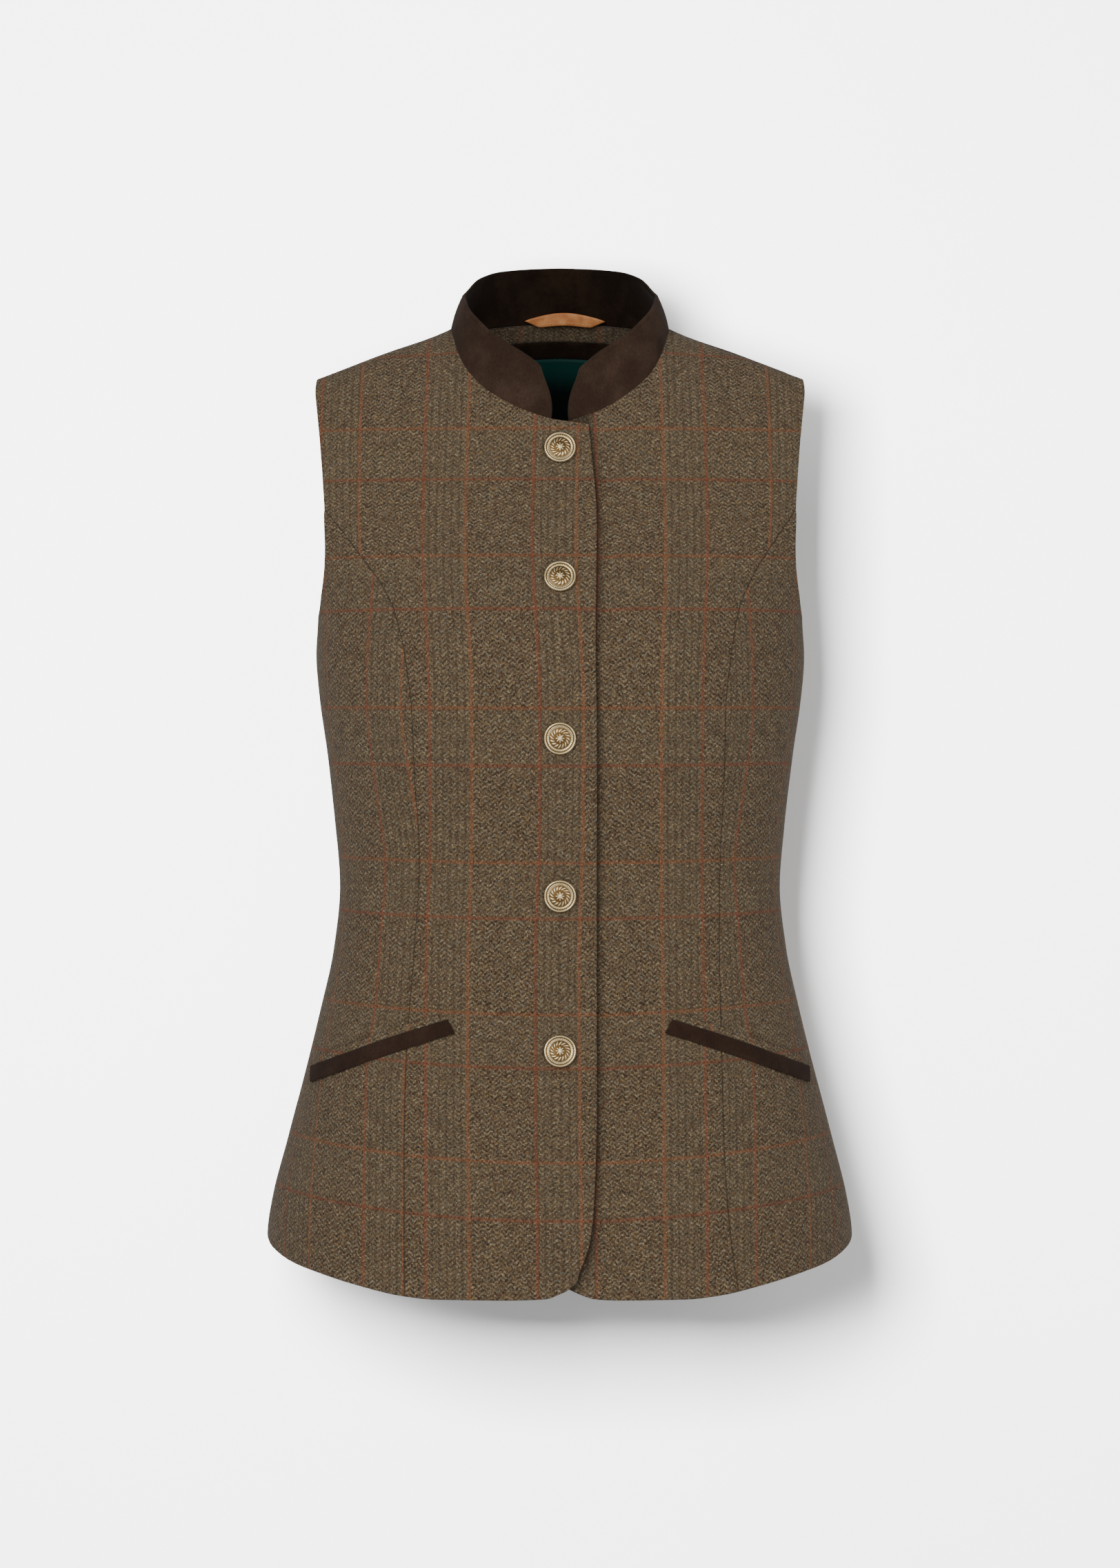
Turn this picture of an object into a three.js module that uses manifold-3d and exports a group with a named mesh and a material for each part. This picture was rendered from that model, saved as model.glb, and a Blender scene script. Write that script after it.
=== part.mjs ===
// A woman's tweed waistcoat, filled out as it is when worn, with a suede stand collar and five shank buttons.
// Millimetres. +X is the wearer's left, -Y the front and +Z up. The origin is at the middle of the neck base,
// level with the neck ends of the shoulder seams.
import * as THREE from 'three';
import { mergeVertices } from 'three/addons/utils/BufferGeometryUtils.js';
import Module from 'manifold-3d';

// Cloth and clearances
const WALL = 2.4; // tweed, canvas and lining pressed together
const COLLAR_WALL = 3.0;
const FACING_WALL = 1.4;
const LINING_WALL = 1.0;
const LABEL_WALL = 1.0;
const JET_WALL = 1.6;
const LOOP_WALL = 1.8;
const SEAM_GAP = 0.3;
const LAY_GAP = 0.5; // between a panel and what lies on it
const LAP_DEPTH = WALL + 1.0; // how far the left front is set back under the right one

// The filled-out form: half width at the sides, depth of the front and of the back from the side line
const FIGURE = [
  { level: 60, half: 192, front: 8, back: 78 },
  { level: 10, half: 192, front: 16, back: 84 },
  { level: -32, half: 191, front: 30, back: 88 },
  { level: -68, half: 190, front: 45, back: 92 },
  { level: -100, half: 189, front: 55, back: 97 },
  { level: -128, half: 186, front: 66, back: 101 },
  { level: -157, half: 179, front: 78, back: 103 },
  { level: -185, half: 173, front: 89, back: 102 },
  { level: -205, half: 170, front: 96, back: 100 },
  { level: -231, half: 171.2, front: 103, back: 96 },
  { level: -260, half: 169, front: 107, back: 91 },
  { level: -303, half: 163, front: 107, back: 84 },
  { level: -347, half: 158, front: 102, back: 77 },
  { level: -393, half: 154.5, front: 98, back: 73 },
  { level: -435, half: 158.8, front: 101, back: 78 },
  { level: -478, half: 168, front: 108, back: 92 },
  { level: -522, half: 178.8, front: 118, back: 109 },
  { level: -565, half: 190, front: 127, back: 121 },
  { level: -609, half: 201.3, front: 135, back: 129 },
  { level: -632, half: 204.8, front: 139, back: 132 },
  { level: -690, half: 207, front: 144, back: 136 },
];
const SECTION_POWER = 2.4;
const CUP = { rise: 10, across: 86, level: -250, width: 44, height: 62 };

// The top of the shoulder, where front and back meet
const RIDGE = [
  { across: 0, level: 45, y: 12 },
  { across: 40, level: 26, y: 12 },
  { across: 77, level: 0, y: 12 },
  { across: 125, level: -18.1, y: 8 },
  { across: 171.6, level: -36.2, y: 4 },
  { across: 200, level: -47, y: 2 },
];
const FRONT_ROUND = 85; // height over which the front turns over the shoulder
const BACK_ROUND = 110;

const FRONT_NECK = [
  { across: -24, level: -72.2 },
  { across: -7, level: -69.6 },
  { across: 6, level: -67.6 },
  { across: 15, level: -64.8 },
  { across: 30, level: -58.9 },
  { across: 51, level: -46.4 },
  { across: 65, level: -31.5 },
  { across: 71.5, level: -18.5 },
  { across: 77, level: 0 },
];
const BACK_NECK_RISE = 10; // centre back above the shoulder seams' neck ends
const NECK_HALF = 77;
const TIP_ACROSS = 171.6;

const FRONT_ARMHOLE = [
  { level: -36.2, across: 171.6 },
  { level: -44, across: 172.2 },
  { level: -56, across: 171 },
  { level: -86, across: 167.7 },
  { level: -115, across: 165.3 },
  { level: -130, across: 164.4 },
  { level: -159, across: 164 },
  { level: -174, across: 164.8 },
  { level: -188, across: 166.8 },
  { level: -200, across: 168.8 },
];
const BACK_ARMHOLE = [
  { level: -36.2, across: 171.6 },
  { level: -60, across: 168.5 },
  { level: -90, across: 164.5 },
  { level: -120, across: 162.5 },
  { level: -150, across: 162.8 },
  { level: -175, across: 165 },
  { level: -192, across: 167.3 },
  { level: -202, across: 168.8 },
];
const UNDERARM_LEVEL = -208;
const SIDE_SEAM_TURN = 93; // degrees round from the centre front

// The armhole princess seams of the two fronts
const PRINCESS_START = -130;
const PRINCESS = [
  { level: -130, right: 164.4, left: 164.4 },
  { level: -146, right: 151, left: 153.5 },
  { level: -162, right: 139, left: 142.5 },
  { level: -180, right: 125.5, left: 132 },
  { level: -201, right: 114.3, left: 123.5 },
  { level: -235, right: 106, left: 117.3 },
  { level: -265, right: 102, left: 114 },
  { level: -320, right: 99.3, left: 112.6 },
  { level: -372, right: 96.6, left: 110.4 },
  { level: -435, right: 100.1, left: 109.6 },
  { level: -500, right: 104.8, left: 110.6 },
  { level: -560, right: 106, left: 111.5 },
  { level: -620, right: 105.6, left: 115 },
  { level: -670, right: 105, left: 122 },
];

// Each front's free edge past the centre line, which turns into the hem at a rounded corner
const FREE_EDGE = [
  { level: -72, right: -20.1, left: -20 },
  { level: -140, right: -25.4, left: -22 },
  { level: -225, right: -24.4, left: -22 },
  { level: -300, right: -25.2, left: -22 },
  { level: -530, right: -25.2, left: -22 },
  { level: -597, right: -23.7, left: -21 },
  { level: -633, right: -21.3, left: -19 },
  { level: -646, right: -17.3, left: -16 },
  { level: -656, right: -12, left: -11 },
];
const CORNER = {
  right: { across: -12, level: -656 },
  left: { across: -16, level: -646 },
};
const CORNER_HEM = {
  right: [{ across: -12, level: -656 }, { across: -2, level: -663.5 }, { across: 9, level: -667.5 }],
  left: [{ across: -16, level: -646 }, { across: -4, level: -656 }, { across: 8.4, level: -662.3 },
    { across: 24.6, level: -667.8 }],
};
const HEM = [
  { turn: 8, level: -668.5 },
  { turn: 20, level: -668.5 },
  { turn: 27, level: -666.8 },
  { turn: 38, level: -661 },
  { turn: 51, level: -654 },
  { turn: 62, level: -649 },
  { turn: 74, level: -642.5 },
  { turn: 93, level: -635 },
  { turn: 120, level: -638 },
  { turn: 150, level: -645 },
  { turn: 180, level: -648 },
];

// Columns of the panels: where they leave the neck and the shoulder
const FRONT_NECK_STEPS = [-20.1, -7, 6, 18, 31, 44, 56, 66, 73, NECK_HALF];
const BACK_NECK_STEPS = [0, 10, 20, 30, 41, 52, 62, 71, NECK_HALF];
const SHOULDER_STEPS = [96, 115, 134, 153, TIP_ACROSS];
const COLLAR_START = 2; // the front column where the collar ends

// Rows of the panels
const SHOULDER_ROWS = 7; // on the front, from the shoulder seam to the princess seam's start
const BACK_ARM_ROWS = 12; // on the back, from the shoulder seam to the underarm
const BODY_ROWS = 22;
const SIDE_COLUMNS = 6;
const TOP_EASE = 0.5; // how evenly the first rows are spaced
const FRONT_TOP_SHARE = 0.15;
const BACK_TOP_SHARE = 0.285;

// Collar: height and lean inwards round the neck
const COLLAR_GAP = 0.5;
const COLLAR_FORM = [
  { round: 0, height: 36, lean: 12.5 },
  { round: 0.2, height: 35.8, lean: 12.5 },
  { round: 0.3, height: 33.8, lean: 10.5 },
  { round: 0.4, height: 31, lean: 7.5 },
  { round: 0.48, height: 27.6, lean: 8.5 },
  { round: 0.54, height: 26, lean: 17 },
  { round: 0.58, height: 28.6, lean: 23.5 },
  { round: 0.63, height: 32.6, lean: 22 },
  { round: 0.7, height: 36, lean: 16 },
  { round: 0.8, height: 38.2, lean: 11.5 },
  { round: 1, height: 39, lean: 10.7 },
];
const COLLAR_CORNER = { length: 42, power: 2.35, low: 0.08 }; // the rounded front corners
const COLLAR_END_STEPS = [0.5, 1.5, 3.2, 6, 10];
const COLLAR_END_SLANT = new THREE.Vector3(-0.07, 0, 0.95);
const COLLAR_END_BLEND = 26;
const COLLAR_RISE_STEPS = [0, 0.3, 0.6, 0.85, 1];
const NECK_AXIS_Y = 12;

// Inside the back neck, counted in rows and columns of the back panels
const FACING_ROWS = [0, 2];
const BAND_ROWS = [2, 3];
const LINING_ROWS = [3, 10];
const LABEL_ROWS = [3, 6];
const LABEL_HALF = 31;
const LABEL_COLUMNS = 2; // whole columns each side of the middle, before its straight edges

const LOOP = {
  from: -22.4, to: 29.7, slant: 5, width: 9, end: 0.5, above: 1.5, rise: 1.6, steps: 12, close: 1.5, proud: 2.8,
};

// Slanted pockets: the middle of the suede jet, one row for each end and one between
const POCKET = [
  { across: 72, level: -485.5 },
  { across: 123, level: -502.6 },
  { across: 177.4, level: -524.5 },
];
const POCKET_STEPS = 12;
const JET_HEIGHT = 11;
const JET_SLANT = 2.6; // how far the inner end leans at its corners
const LIP_INSET = 4.5; // the tweed lip is this much shorter at each end
const LIP_HEIGHT = 5;

const BUTTON_LEVELS = [-88.6, -179.6, -290, -397.5, -502.7];
const BUTTON = { radius: 10.8, rim: 1.9, dome: 1.4, shank: 2.0, lift: 0.6, sides: 24 };
const BUTTONHOLE = { from: -13, eyelet: 2.7, slit: 0.9, sides: 12, reach: 20 };

const FINISH = {
  tweed: { color: 0x625341, roughness: 0.92, metalness: 0 },
  suede: { color: 0x3f2f26, roughness: 0.95, metalness: 0 },
  lining: { color: 0x1b1613, roughness: 0.55, metalness: 0 },
  label: { color: 0x0b3d38, roughness: 0.6, metalness: 0 },
  leather: { color: 0xa5693f, roughness: 0.5, metalness: 0 },
  brass: { color: 0xc8ad82, roughness: 0.35, metalness: 1 },
};

const degrees = (value) => THREE.MathUtils.degToRad(value);
const mix = THREE.MathUtils.lerp;

// A smooth, never overshooting curve through one column of a table
function curve(rows, at, value) {
  const sorted = [...rows].sort((a, b) => a[at] - b[at]);
  const xs = sorted.map((row) => row[at]);
  const ys = sorted.map((row) => row[value]);
  const rises = xs.slice(1).map((x, i) => (ys[i + 1] - ys[i]) / (x - xs[i]));
  const slopes = xs.map((x, i) => {
    if (i === 0) return rises[0];
    if (i === xs.length - 1) return rises[i - 1];
    const [before, after] = [rises[i - 1], rises[i]];
    return before * after > 0 ? (2 * before * after) / (before + after) : 0;
  });
  return (x) => {
    const found = xs.findIndex((limit) => x < limit);
    if (found === 0) return ys[0] + (x - xs[0]) * slopes[0];
    if (found < 0) return ys[ys.length - 1] + (x - xs[xs.length - 1]) * slopes[slopes.length - 1];
    const i = found - 1;
    const span = xs[found] - xs[i];
    const t = (x - xs[i]) / span;
    return ys[i] * (1 + 2 * t) * (1 - t) ** 2 + slopes[i] * span * t * (1 - t) ** 2
      + ys[found] * t * t * (3 - 2 * t) + slopes[found] * span * t * t * (t - 1);
  };
}

// The same rows on both sides of the centre line, so that a curve through them is level there
const bothSides = (rows) => [...rows, ...rows.slice(1).map((row) => ({ ...row, across: -row.across }))];

const halfAt = curve(FIGURE, 'level', 'half');
const frontAt = curve(FIGURE, 'level', 'front');
const backAt = curve(FIGURE, 'level', 'back');
const ridgeLevelAt = curve(bothSides(RIDGE), 'across', 'level');
const ridgeYAt = curve(bothSides(RIDGE), 'across', 'y');
const frontNeckAt = curve(FRONT_NECK, 'across', 'level');
const hemAt = curve(HEM, 'turn', 'level');
const frontArmholeAt = curve(FRONT_ARMHOLE, 'level', 'across');
const backArmholeAt = curve(BACK_ARMHOLE, 'level', 'across');

// The outer face of the cloth. turn runs from 0 at the centre front to PI at the centre back, and is
// negative past the centre line. across is positive towards the panel's own side seam.
function surface(turn, level) {
  const angle = Math.abs(turn);
  const half = halfAt(level);
  const across = half * Math.sin(angle) ** (2 / SECTION_POWER);
  const shape = Math.abs(Math.cos(angle)) ** (2 / SECTION_POWER);
  const inFront = angle < Math.PI / 2;
  const cup = CUP.rise * Math.exp(-(((across - CUP.across) / CUP.width) ** 2)
    - (((level - CUP.level) / CUP.height) ** 2));
  const section = inFront ? -(frontAt(level) + cup) * shape : backAt(level) * shape;
  const ridgeY = ridgeYAt(across);
  const height = inFront ? FRONT_ROUND : BACK_ROUND;
  const drop = THREE.MathUtils.clamp((ridgeLevelAt(across) - level) / height, 0, 1);
  const y = ridgeY + (section - ridgeY) * Math.sqrt(1 - (1 - drop) ** 2);
  return new THREE.Vector3(Math.sign(turn) * across, y, level);
}

function turnAt(across, level) {
  const share = Math.min(1, Math.abs(across) / halfAt(level));
  return Math.sign(across) * Math.asin(share ** (SECTION_POWER / 2));
}

const onFront = (across, level) => ({ turn: turnAt(across, level), level });
const onBack = (across, level) => ({ turn: Math.PI - turnAt(across, level), level });

function mixSpots(a, b, share) {
  return { turn: mix(a.turn, b.turn, share), level: mix(a.level, b.level, share) };
}

// A patch between four edges, given in turn and level. across and down run from 0 to 1.
function patch(edges, across, down) {
  const { inner, outer, top, bottom } = edges;
  const base = mixSpots(inner(down), outer(down), across);
  const topChord = mixSpots(top(0), top(1), across);
  const bottomChord = mixSpots(bottom(0), bottom(1), across);
  const topHold = (1 - down) ** 3;
  const bottomHold = down ** 3;
  const blend = (key) => base[key] + topHold * (top(across)[key] - topChord[key])
    + bottomHold * (bottom(across)[key] - bottomChord[key]);
  return { turn: blend('turn'), level: blend('level') };
}

// Rows close up towards the shoulder, where the cloth turns over
function rowShare(row, topRows, topShare) {
  if (row >= topRows) return topShare + (1 - topShare) * ((row - topRows) / BODY_ROWS);
  const t = row / topRows;
  return (topShare * t * t * (1 + TOP_EASE)) / (t + TOP_EASE);
}

// Points of a panel with their normals, as rows of columns, on the wearer's right (-1) or left (+1)
function panelGrid(edges, columns, rows, shareOf, side, setBack = () => 0) {
  const place = (column, row) => {
    const spot = patch(edges, column / columns, shareOf(row));
    const point = surface(spot.turn, spot.level);
    point.x *= side;
    return point;
  };
  const step = 0.01;
  const grid = [];
  for (let row = 0; row <= rows; row += 1) {
    const line = [];
    for (let column = 0; column <= columns; column += 1) {
      const point = place(column, row);
      const columnStep = column < columns ? step : -step;
      const rowStep = row < rows ? step : -step;
      const along = place(column + columnStep, row).sub(point).multiplyScalar(columnStep);
      const down = place(column, row + rowStep).sub(point).multiplyScalar(rowStep);
      const normal = along.cross(down).normalize();
      if (side > 0) normal.negate();
      point.addScaledVector(normal, -setBack(point.x * side));
      line.push({ point, normal });
    }
    grid.push(line);
  }
  return grid;
}

function cutGrid(grid, [firstRow, lastRow], [firstColumn, lastColumn]) {
  return grid.slice(firstRow, lastRow + 1).map((row) => row.slice(firstColumn, lastColumn + 1));
}

// Moves an edge of a grid back by half a seam gap, towards the panel's own middle
function seamIn(grid, edge) {
  const lastRow = grid.length - 1;
  const lastColumn = grid[0].length - 1;
  const pairs = {
    inner: grid.map((row) => [row[0], row[1]]),
    outer: grid.map((row) => [row[lastColumn], row[lastColumn - 1]]),
    top: grid[0].map((spot, i) => [spot, grid[1][i]]),
    bottom: grid[lastRow].map((spot, i) => [spot, grid[lastRow - 1][i]]),
  }[edge];
  for (const [spot, next] of pairs) {
    const way = next.point.clone().sub(spot.point).normalize();
    spot.point = spot.point.clone().addScaledVector(way, SEAM_GAP / 2);
  }
}

function geometryOf(points, faces) {
  const geometry = new THREE.BufferGeometry();
  geometry.setAttribute('position', new THREE.Float32BufferAttribute(points.flatMap((p) => p.toArray()), 3));
  geometry.setIndex(faces.flat());
  return geometry;
}

// A closed wall over a grid. lift raises its outer face from the grid along the normals.
function wallOver(grid, thickness, lift = 0) {
  const rows = grid.length;
  const columns = grid[0].length;
  const spots = grid.flat();
  const outer = spots.map(({ point, normal }) => point.clone().addScaledVector(normal, lift));
  const inner = spots.map(({ point, normal }) => point.clone().addScaledVector(normal, lift - thickness));
  const count = spots.length;
  const at = (row, column) => row * columns + column;
  // A cell is halved along its shorter diagonal, so that layers over the same points keep apart
  const reach = (a, b) => spots[a % count].point.distanceTo(spots[b % count].point);
  const quads = [];
  for (let row = 0; row + 1 < rows; row += 1) {
    for (let column = 0; column + 1 < columns; column += 1) {
      const corners = [at(row, column), at(row + 1, column), at(row + 1, column + 1), at(row, column + 1)];
      quads.push(corners);
      quads.push([...corners].reverse().map((i) => i + count));
    }
  }
  const rim = [];
  for (let column = 0; column + 1 < columns; column += 1) rim.push([at(0, column), at(0, column + 1)]);
  for (let row = 0; row + 1 < rows; row += 1) rim.push([at(row, columns - 1), at(row + 1, columns - 1)]);
  for (let column = columns - 1; column > 0; column -= 1) {
    rim.push([at(rows - 1, column), at(rows - 1, column - 1)]);
  }
  for (let row = rows - 1; row > 0; row -= 1) rim.push([at(row, 0), at(row - 1, 0)]);
  for (const [a, b] of rim) quads.push([a, b, b + count, a + count]);
  const first = outer[at(0, 0)];
  const turned = outer[at(1, 0)].clone().sub(first).cross(outer[at(1, 1)].clone().sub(first));
  const facesOut = turned.dot(spots[0].normal) > 0;
  const faces = quads.flatMap(([a, b, c, d]) => {
    const short = reach(a, c) < reach(b, d) + 1e-6;
    const halves = short ? [[a, b, c], [a, c, d]] : [[a, b, d], [b, c, d]];
    return facesOut ? halves : halves.map((face) => face.reverse());
  });
  return geometryOf([...outer, ...inner], faces);
}

const waistcoat = new THREE.Group();

function addPiece(name, geometry, finish) {
  const mesh = new THREE.Mesh(geometry, new THREE.MeshStandardMaterial(FINISH[finish]));
  mesh.name = name;
  waistcoat.add(mesh);
  return mesh;
}

// Edges shared by neighbouring panels, all in turn and level
const sideSeam = (share) => ({
  turn: degrees(SIDE_SEAM_TURN),
  level: mix(UNDERARM_LEVEL, hemAt(SIDE_SEAM_TURN), share),
});

function princessSeam(name) {
  const acrossAt = curve(PRINCESS, 'level', name);
  const end = onFront(acrossAt(hemAt(28)), hemAt(28));
  const hemLevel = hemAt(THREE.MathUtils.radToDeg(end.turn));
  return (share) => {
    const level = mix(PRINCESS_START, hemLevel, share);
    return onFront(acrossAt(level), level);
  };
}

// A top edge that follows the neck and then the shoulder seam
function topEdge(neckSteps, neckLevelAt, onSide) {
  const steps = [...neckSteps, ...SHOULDER_STEPS];
  const acrossAt = curve(steps.map((across, index) => ({ index, across })), 'index', 'across');
  return (share) => {
    const across = acrossAt(share * (steps.length - 1));
    const level = across < NECK_HALF ? neckLevelAt(across) : ridgeLevelAt(across);
    return onSide(across, level);
  };
}

const FRONT_COLUMNS = FRONT_NECK_STEPS.length + SHOULDER_STEPS.length - 1;
const BACK_COLUMNS = BACK_NECK_STEPS.length + SHOULDER_STEPS.length - 1;

function frontCentreEdges(name) {
  const princess = princessSeam(name);
  const freeEdgeAt = curve(FREE_EDGE, 'level', name);
  const corner = CORNER[name];
  const topLevel = frontNeckAt(FRONT_NECK_STEPS[0]);
  const inner = (share) => {
    const level = mix(topLevel, corner.level, share);
    const across = mix(freeEdgeAt(level), share < 0.5 ? FRONT_NECK_STEPS[0] : corner.across, share ** 40);
    return onFront(share === 0 ? FRONT_NECK_STEPS[0] : across, level);
  };
  const outer = (share) => {
    if (share >= FRONT_TOP_SHARE) return princess((share - FRONT_TOP_SHARE) / (1 - FRONT_TOP_SHARE));
    const level = mix(ridgeLevelAt(TIP_ACROSS), PRINCESS_START, share / FRONT_TOP_SHARE);
    return onFront(frontArmholeAt(level), level);
  };
  const cornerRows = CORNER_HEM[name].map(({ across, level }) => (
    { turn: THREE.MathUtils.radToDeg(turnAt(across, level)), level }));
  const centreHemAt = curve([...cornerRows, ...HEM], 'turn', 'level');
  const from = turnAt(corner.across, corner.level);
  const to = outer(1).turn;
  const bottom = (share) => {
    const turn = mix(from, to, share);
    return { turn, level: centreHemAt(THREE.MathUtils.radToDeg(turn)) };
  };
  return { inner, outer, top: topEdge(FRONT_NECK_STEPS, frontNeckAt, onFront), bottom };
}

function frontSideEdges(name) {
  const princess = princessSeam(name);
  const low = FRONT_ARMHOLE.filter(({ level }) => level <= PRINCESS_START);
  const spots = [...low.map(({ across, level }) => onFront(across, level)), sideSeam(0)];
  const reach = 170; // turns radians into millimetres round the side
  const armhole = new THREE.CatmullRomCurve3(spots.map(({ turn, level }) => (
    new THREE.Vector3(turn * reach, level, 0))));
  const top = (share) => {
    const point = armhole.getPointAt(share);
    return { turn: point.x / reach, level: point.y };
  };
  const bottom = (share) => {
    const turn = mix(princess(1).turn, degrees(SIDE_SEAM_TURN), share);
    return { turn, level: hemAt(THREE.MathUtils.radToDeg(turn)) };
  };
  return { inner: princess, outer: sideSeam, top, bottom };
}

function backEdges() {
  const neckAt = (across) => BACK_NECK_RISE * (1 - (across / NECK_HALF) ** 2);
  const inner = (share) => ({ turn: Math.PI, level: mix(BACK_NECK_RISE, hemAt(180), share) });
  const outer = (share) => {
    if (share >= BACK_TOP_SHARE) return sideSeam((share - BACK_TOP_SHARE) / (1 - BACK_TOP_SHARE));
    const down = share / BACK_TOP_SHARE;
    const level = mix(ridgeLevelAt(TIP_ACROSS), UNDERARM_LEVEL, down);
    const spot = onBack(backArmholeAt(level), level);
    // The last stretch rounds into the underarm
    const round = THREE.MathUtils.smoothstep(down, 0.8, 1);
    return { turn: mix(spot.turn, degrees(SIDE_SEAM_TURN), round ** 2), level };
  };
  const bottom = (share) => {
    const turn = mix(Math.PI, degrees(SIDE_SEAM_TURN), share);
    return { turn, level: hemAt(THREE.MathUtils.radToDeg(turn)) };
  };
  return { inner, outer, top: topEdge(BACK_NECK_STEPS, neckAt, onBack), bottom };
}

// Holes for the buttons: a slit that ends in a round eyelet round the shank
function buttonholes(placesOf) {
  const outline = new THREE.Shape();
  const { eyelet, slit, from } = BUTTONHOLE;
  const open = Math.asin(slit / eyelet);
  outline.moveTo(from, -slit);
  outline.lineTo(-eyelet * Math.cos(open), -slit);
  outline.absarc(0, 0, eyelet, Math.PI + open, Math.PI - open + 2 * Math.PI, false);
  outline.lineTo(from, slit);
  outline.closePath();
  return placesOf.map(({ point, normal }) => {
    const geometry = new THREE.ExtrudeGeometry(outline, {
      depth: BUTTONHOLE.reach, bevelEnabled: false, curveSegments: BUTTONHOLE.sides,
    });
    geometry.translate(0, 0, -BUTTONHOLE.reach / 2);
    geometry.applyQuaternion(facing(normal));
    geometry.translate(...point.toArray());
    return geometry;
  });
}

// Turns +Z to a normal that points forwards, with +X kept to the wearer's left
function facing(normal) {
  const right = new THREE.Vector3(1, 0, 0).addScaledVector(normal, -normal.x).normalize();
  const up = normal.clone().cross(right);
  return new THREE.Quaternion().setFromRotationMatrix(new THREE.Matrix4().makeBasis(right, up, normal));
}

const wasm = await Module();
wasm.setup();

function solidOf(geometry) {
  const bare = geometry.clone();
  bare.deleteAttribute('normal');
  bare.deleteAttribute('uv');
  const merged = mergeVertices(bare, 1e-4);
  return new wasm.Manifold(new wasm.Mesh({
    numProp: 3,
    vertProperties: new Float32Array(merged.attributes.position.array),
    triVerts: new Uint32Array(merged.index.array),
  }));
}

function cutFrom(geometry, cutters) {
  const cut = cutters.reduce((left, cutter) => left.subtract(solidOf(cutter)), solidOf(geometry));
  const mesh = cut.getMesh();
  const result = new THREE.BufferGeometry();
  result.setAttribute('position', new THREE.BufferAttribute(mesh.vertProperties, 3));
  result.setIndex(new THREE.BufferAttribute(mesh.triVerts, 1));
  return result;
}

// A spot on the front at a given place, with its normal, for what is fastened there
function frontSpot(across, level) {
  const step = 0.01;
  const at = (dx, dz) => {
    const spot = onFront(across + dx, level + dz);
    return surface(spot.turn, spot.level);
  };
  const point = at(0, 0);
  const normal = at(step, 0).sub(at(-step, 0)).cross(at(0, step).sub(at(0, -step))).normalize();
  return { point, normal };
}

// The right front is the upper one at the centre, and the left front is set back under it
const lapStart = 27;
const lapEnd = 54;
const setBackLeft = (across) => LAP_DEPTH * (1 - THREE.MathUtils.smoothstep(across, lapStart, lapEnd));
const frontShare = (row) => rowShare(row, SHOULDER_ROWS, FRONT_TOP_SHARE);
const backShare = (row) => rowShare(row, BACK_ARM_ROWS, BACK_TOP_SHARE);
const sideShare = (row) => row / BODY_ROWS;
const frontRows = SHOULDER_ROWS + BODY_ROWS;
const backRows = BACK_ARM_ROWS + BODY_ROWS;

const SIDES = [{ name: 'right', side: -1 }, { name: 'left', side: 1 }];
const necks = {};

const centreWalls = {};
for (const { name, side } of SIDES) {
  const setBack = name === 'left' ? setBackLeft : undefined;
  const centre = panelGrid(frontCentreEdges(name), FRONT_COLUMNS, frontRows, frontShare, side, setBack);
  necks[name] = { front: centre[0].slice(COLLAR_START, FRONT_NECK_STEPS.length).map((spot) => ({ ...spot })) };
  const princessPart = cutGrid(centre, [SHOULDER_ROWS, frontRows], [FRONT_COLUMNS - 1, FRONT_COLUMNS]);
  seamIn(princessPart, 'outer');
  for (const spot of centre[0].slice(FRONT_NECK_STEPS.length - 1)) {
    spot.point = spot.point.clone();
    spot.point.y -= SEAM_GAP / 2;
  }
  centreWalls[name] = new THREE.Mesh(wallOver(centre, WALL));

  const sideGrid = panelGrid(frontSideEdges(name), SIDE_COLUMNS, BODY_ROWS, sideShare, side);
  seamIn(sideGrid, 'inner');
  seamIn(sideGrid, 'outer');
  addPiece(`front_${name}_side`, wallOver(sideGrid, WALL), 'tweed');
}

// Where each button sits on the right front, and how far behind that the left front is
const buttonSpots = BUTTON_LEVELS.map((level) => {
  const ray = new THREE.Raycaster(new THREE.Vector3(0, -1000, level), new THREE.Vector3(0, 1, 0));
  const [right, left] = ['right', 'left'].map((name) => ray.intersectObject(centreWalls[name])[0]);
  const normal = right.face.normal.clone();
  return { point: right.point, normal, depth: right.point.clone().sub(left.point).dot(normal) };
});
addPiece('front_right_centre', cutFrom(centreWalls.right.geometry, buttonholes(buttonSpots)), 'tweed');
addPiece('front_left_centre', centreWalls.left.geometry, 'tweed');

const backGrids = {};
for (const { name, side } of SIDES) {
  const grid = panelGrid(backEdges(), BACK_COLUMNS, backRows, backShare, side);
  // The grid runs from the centre back outwards, so its normals point in until they are turned
  for (const row of grid) for (const spot of row) spot.normal.negate();
  backGrids[name] = grid.map((row) => row.map(({ point, normal }) => (
    { point: point.clone(), normal: normal.clone() })));
  necks[name].back = backGrids[name][0].slice(0, BACK_NECK_STEPS.length);
  seamIn(grid, 'inner');
  const sidePart = cutGrid(grid, [BACK_ARM_ROWS, backRows], [BACK_COLUMNS - 1, BACK_COLUMNS]);
  seamIn(sidePart, 'outer');
  for (const spot of grid[0].slice(BACK_NECK_STEPS.length - 1)) spot.point.y += SEAM_GAP / 2;
  addPiece(`back_${name}`, wallOver(grid, WALL), 'tweed');
}

// Both halves of the back as one grid from the wearer's right to left, for what is sewn inside it
const wholeBack = backGrids.right.map((row, i) => [...[...row].reverse(), ...backGrids.left[i].slice(1)]);
const backMiddle = BACK_COLUMNS;
const neckReach = BACK_NECK_STEPS.length - 1;

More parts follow.
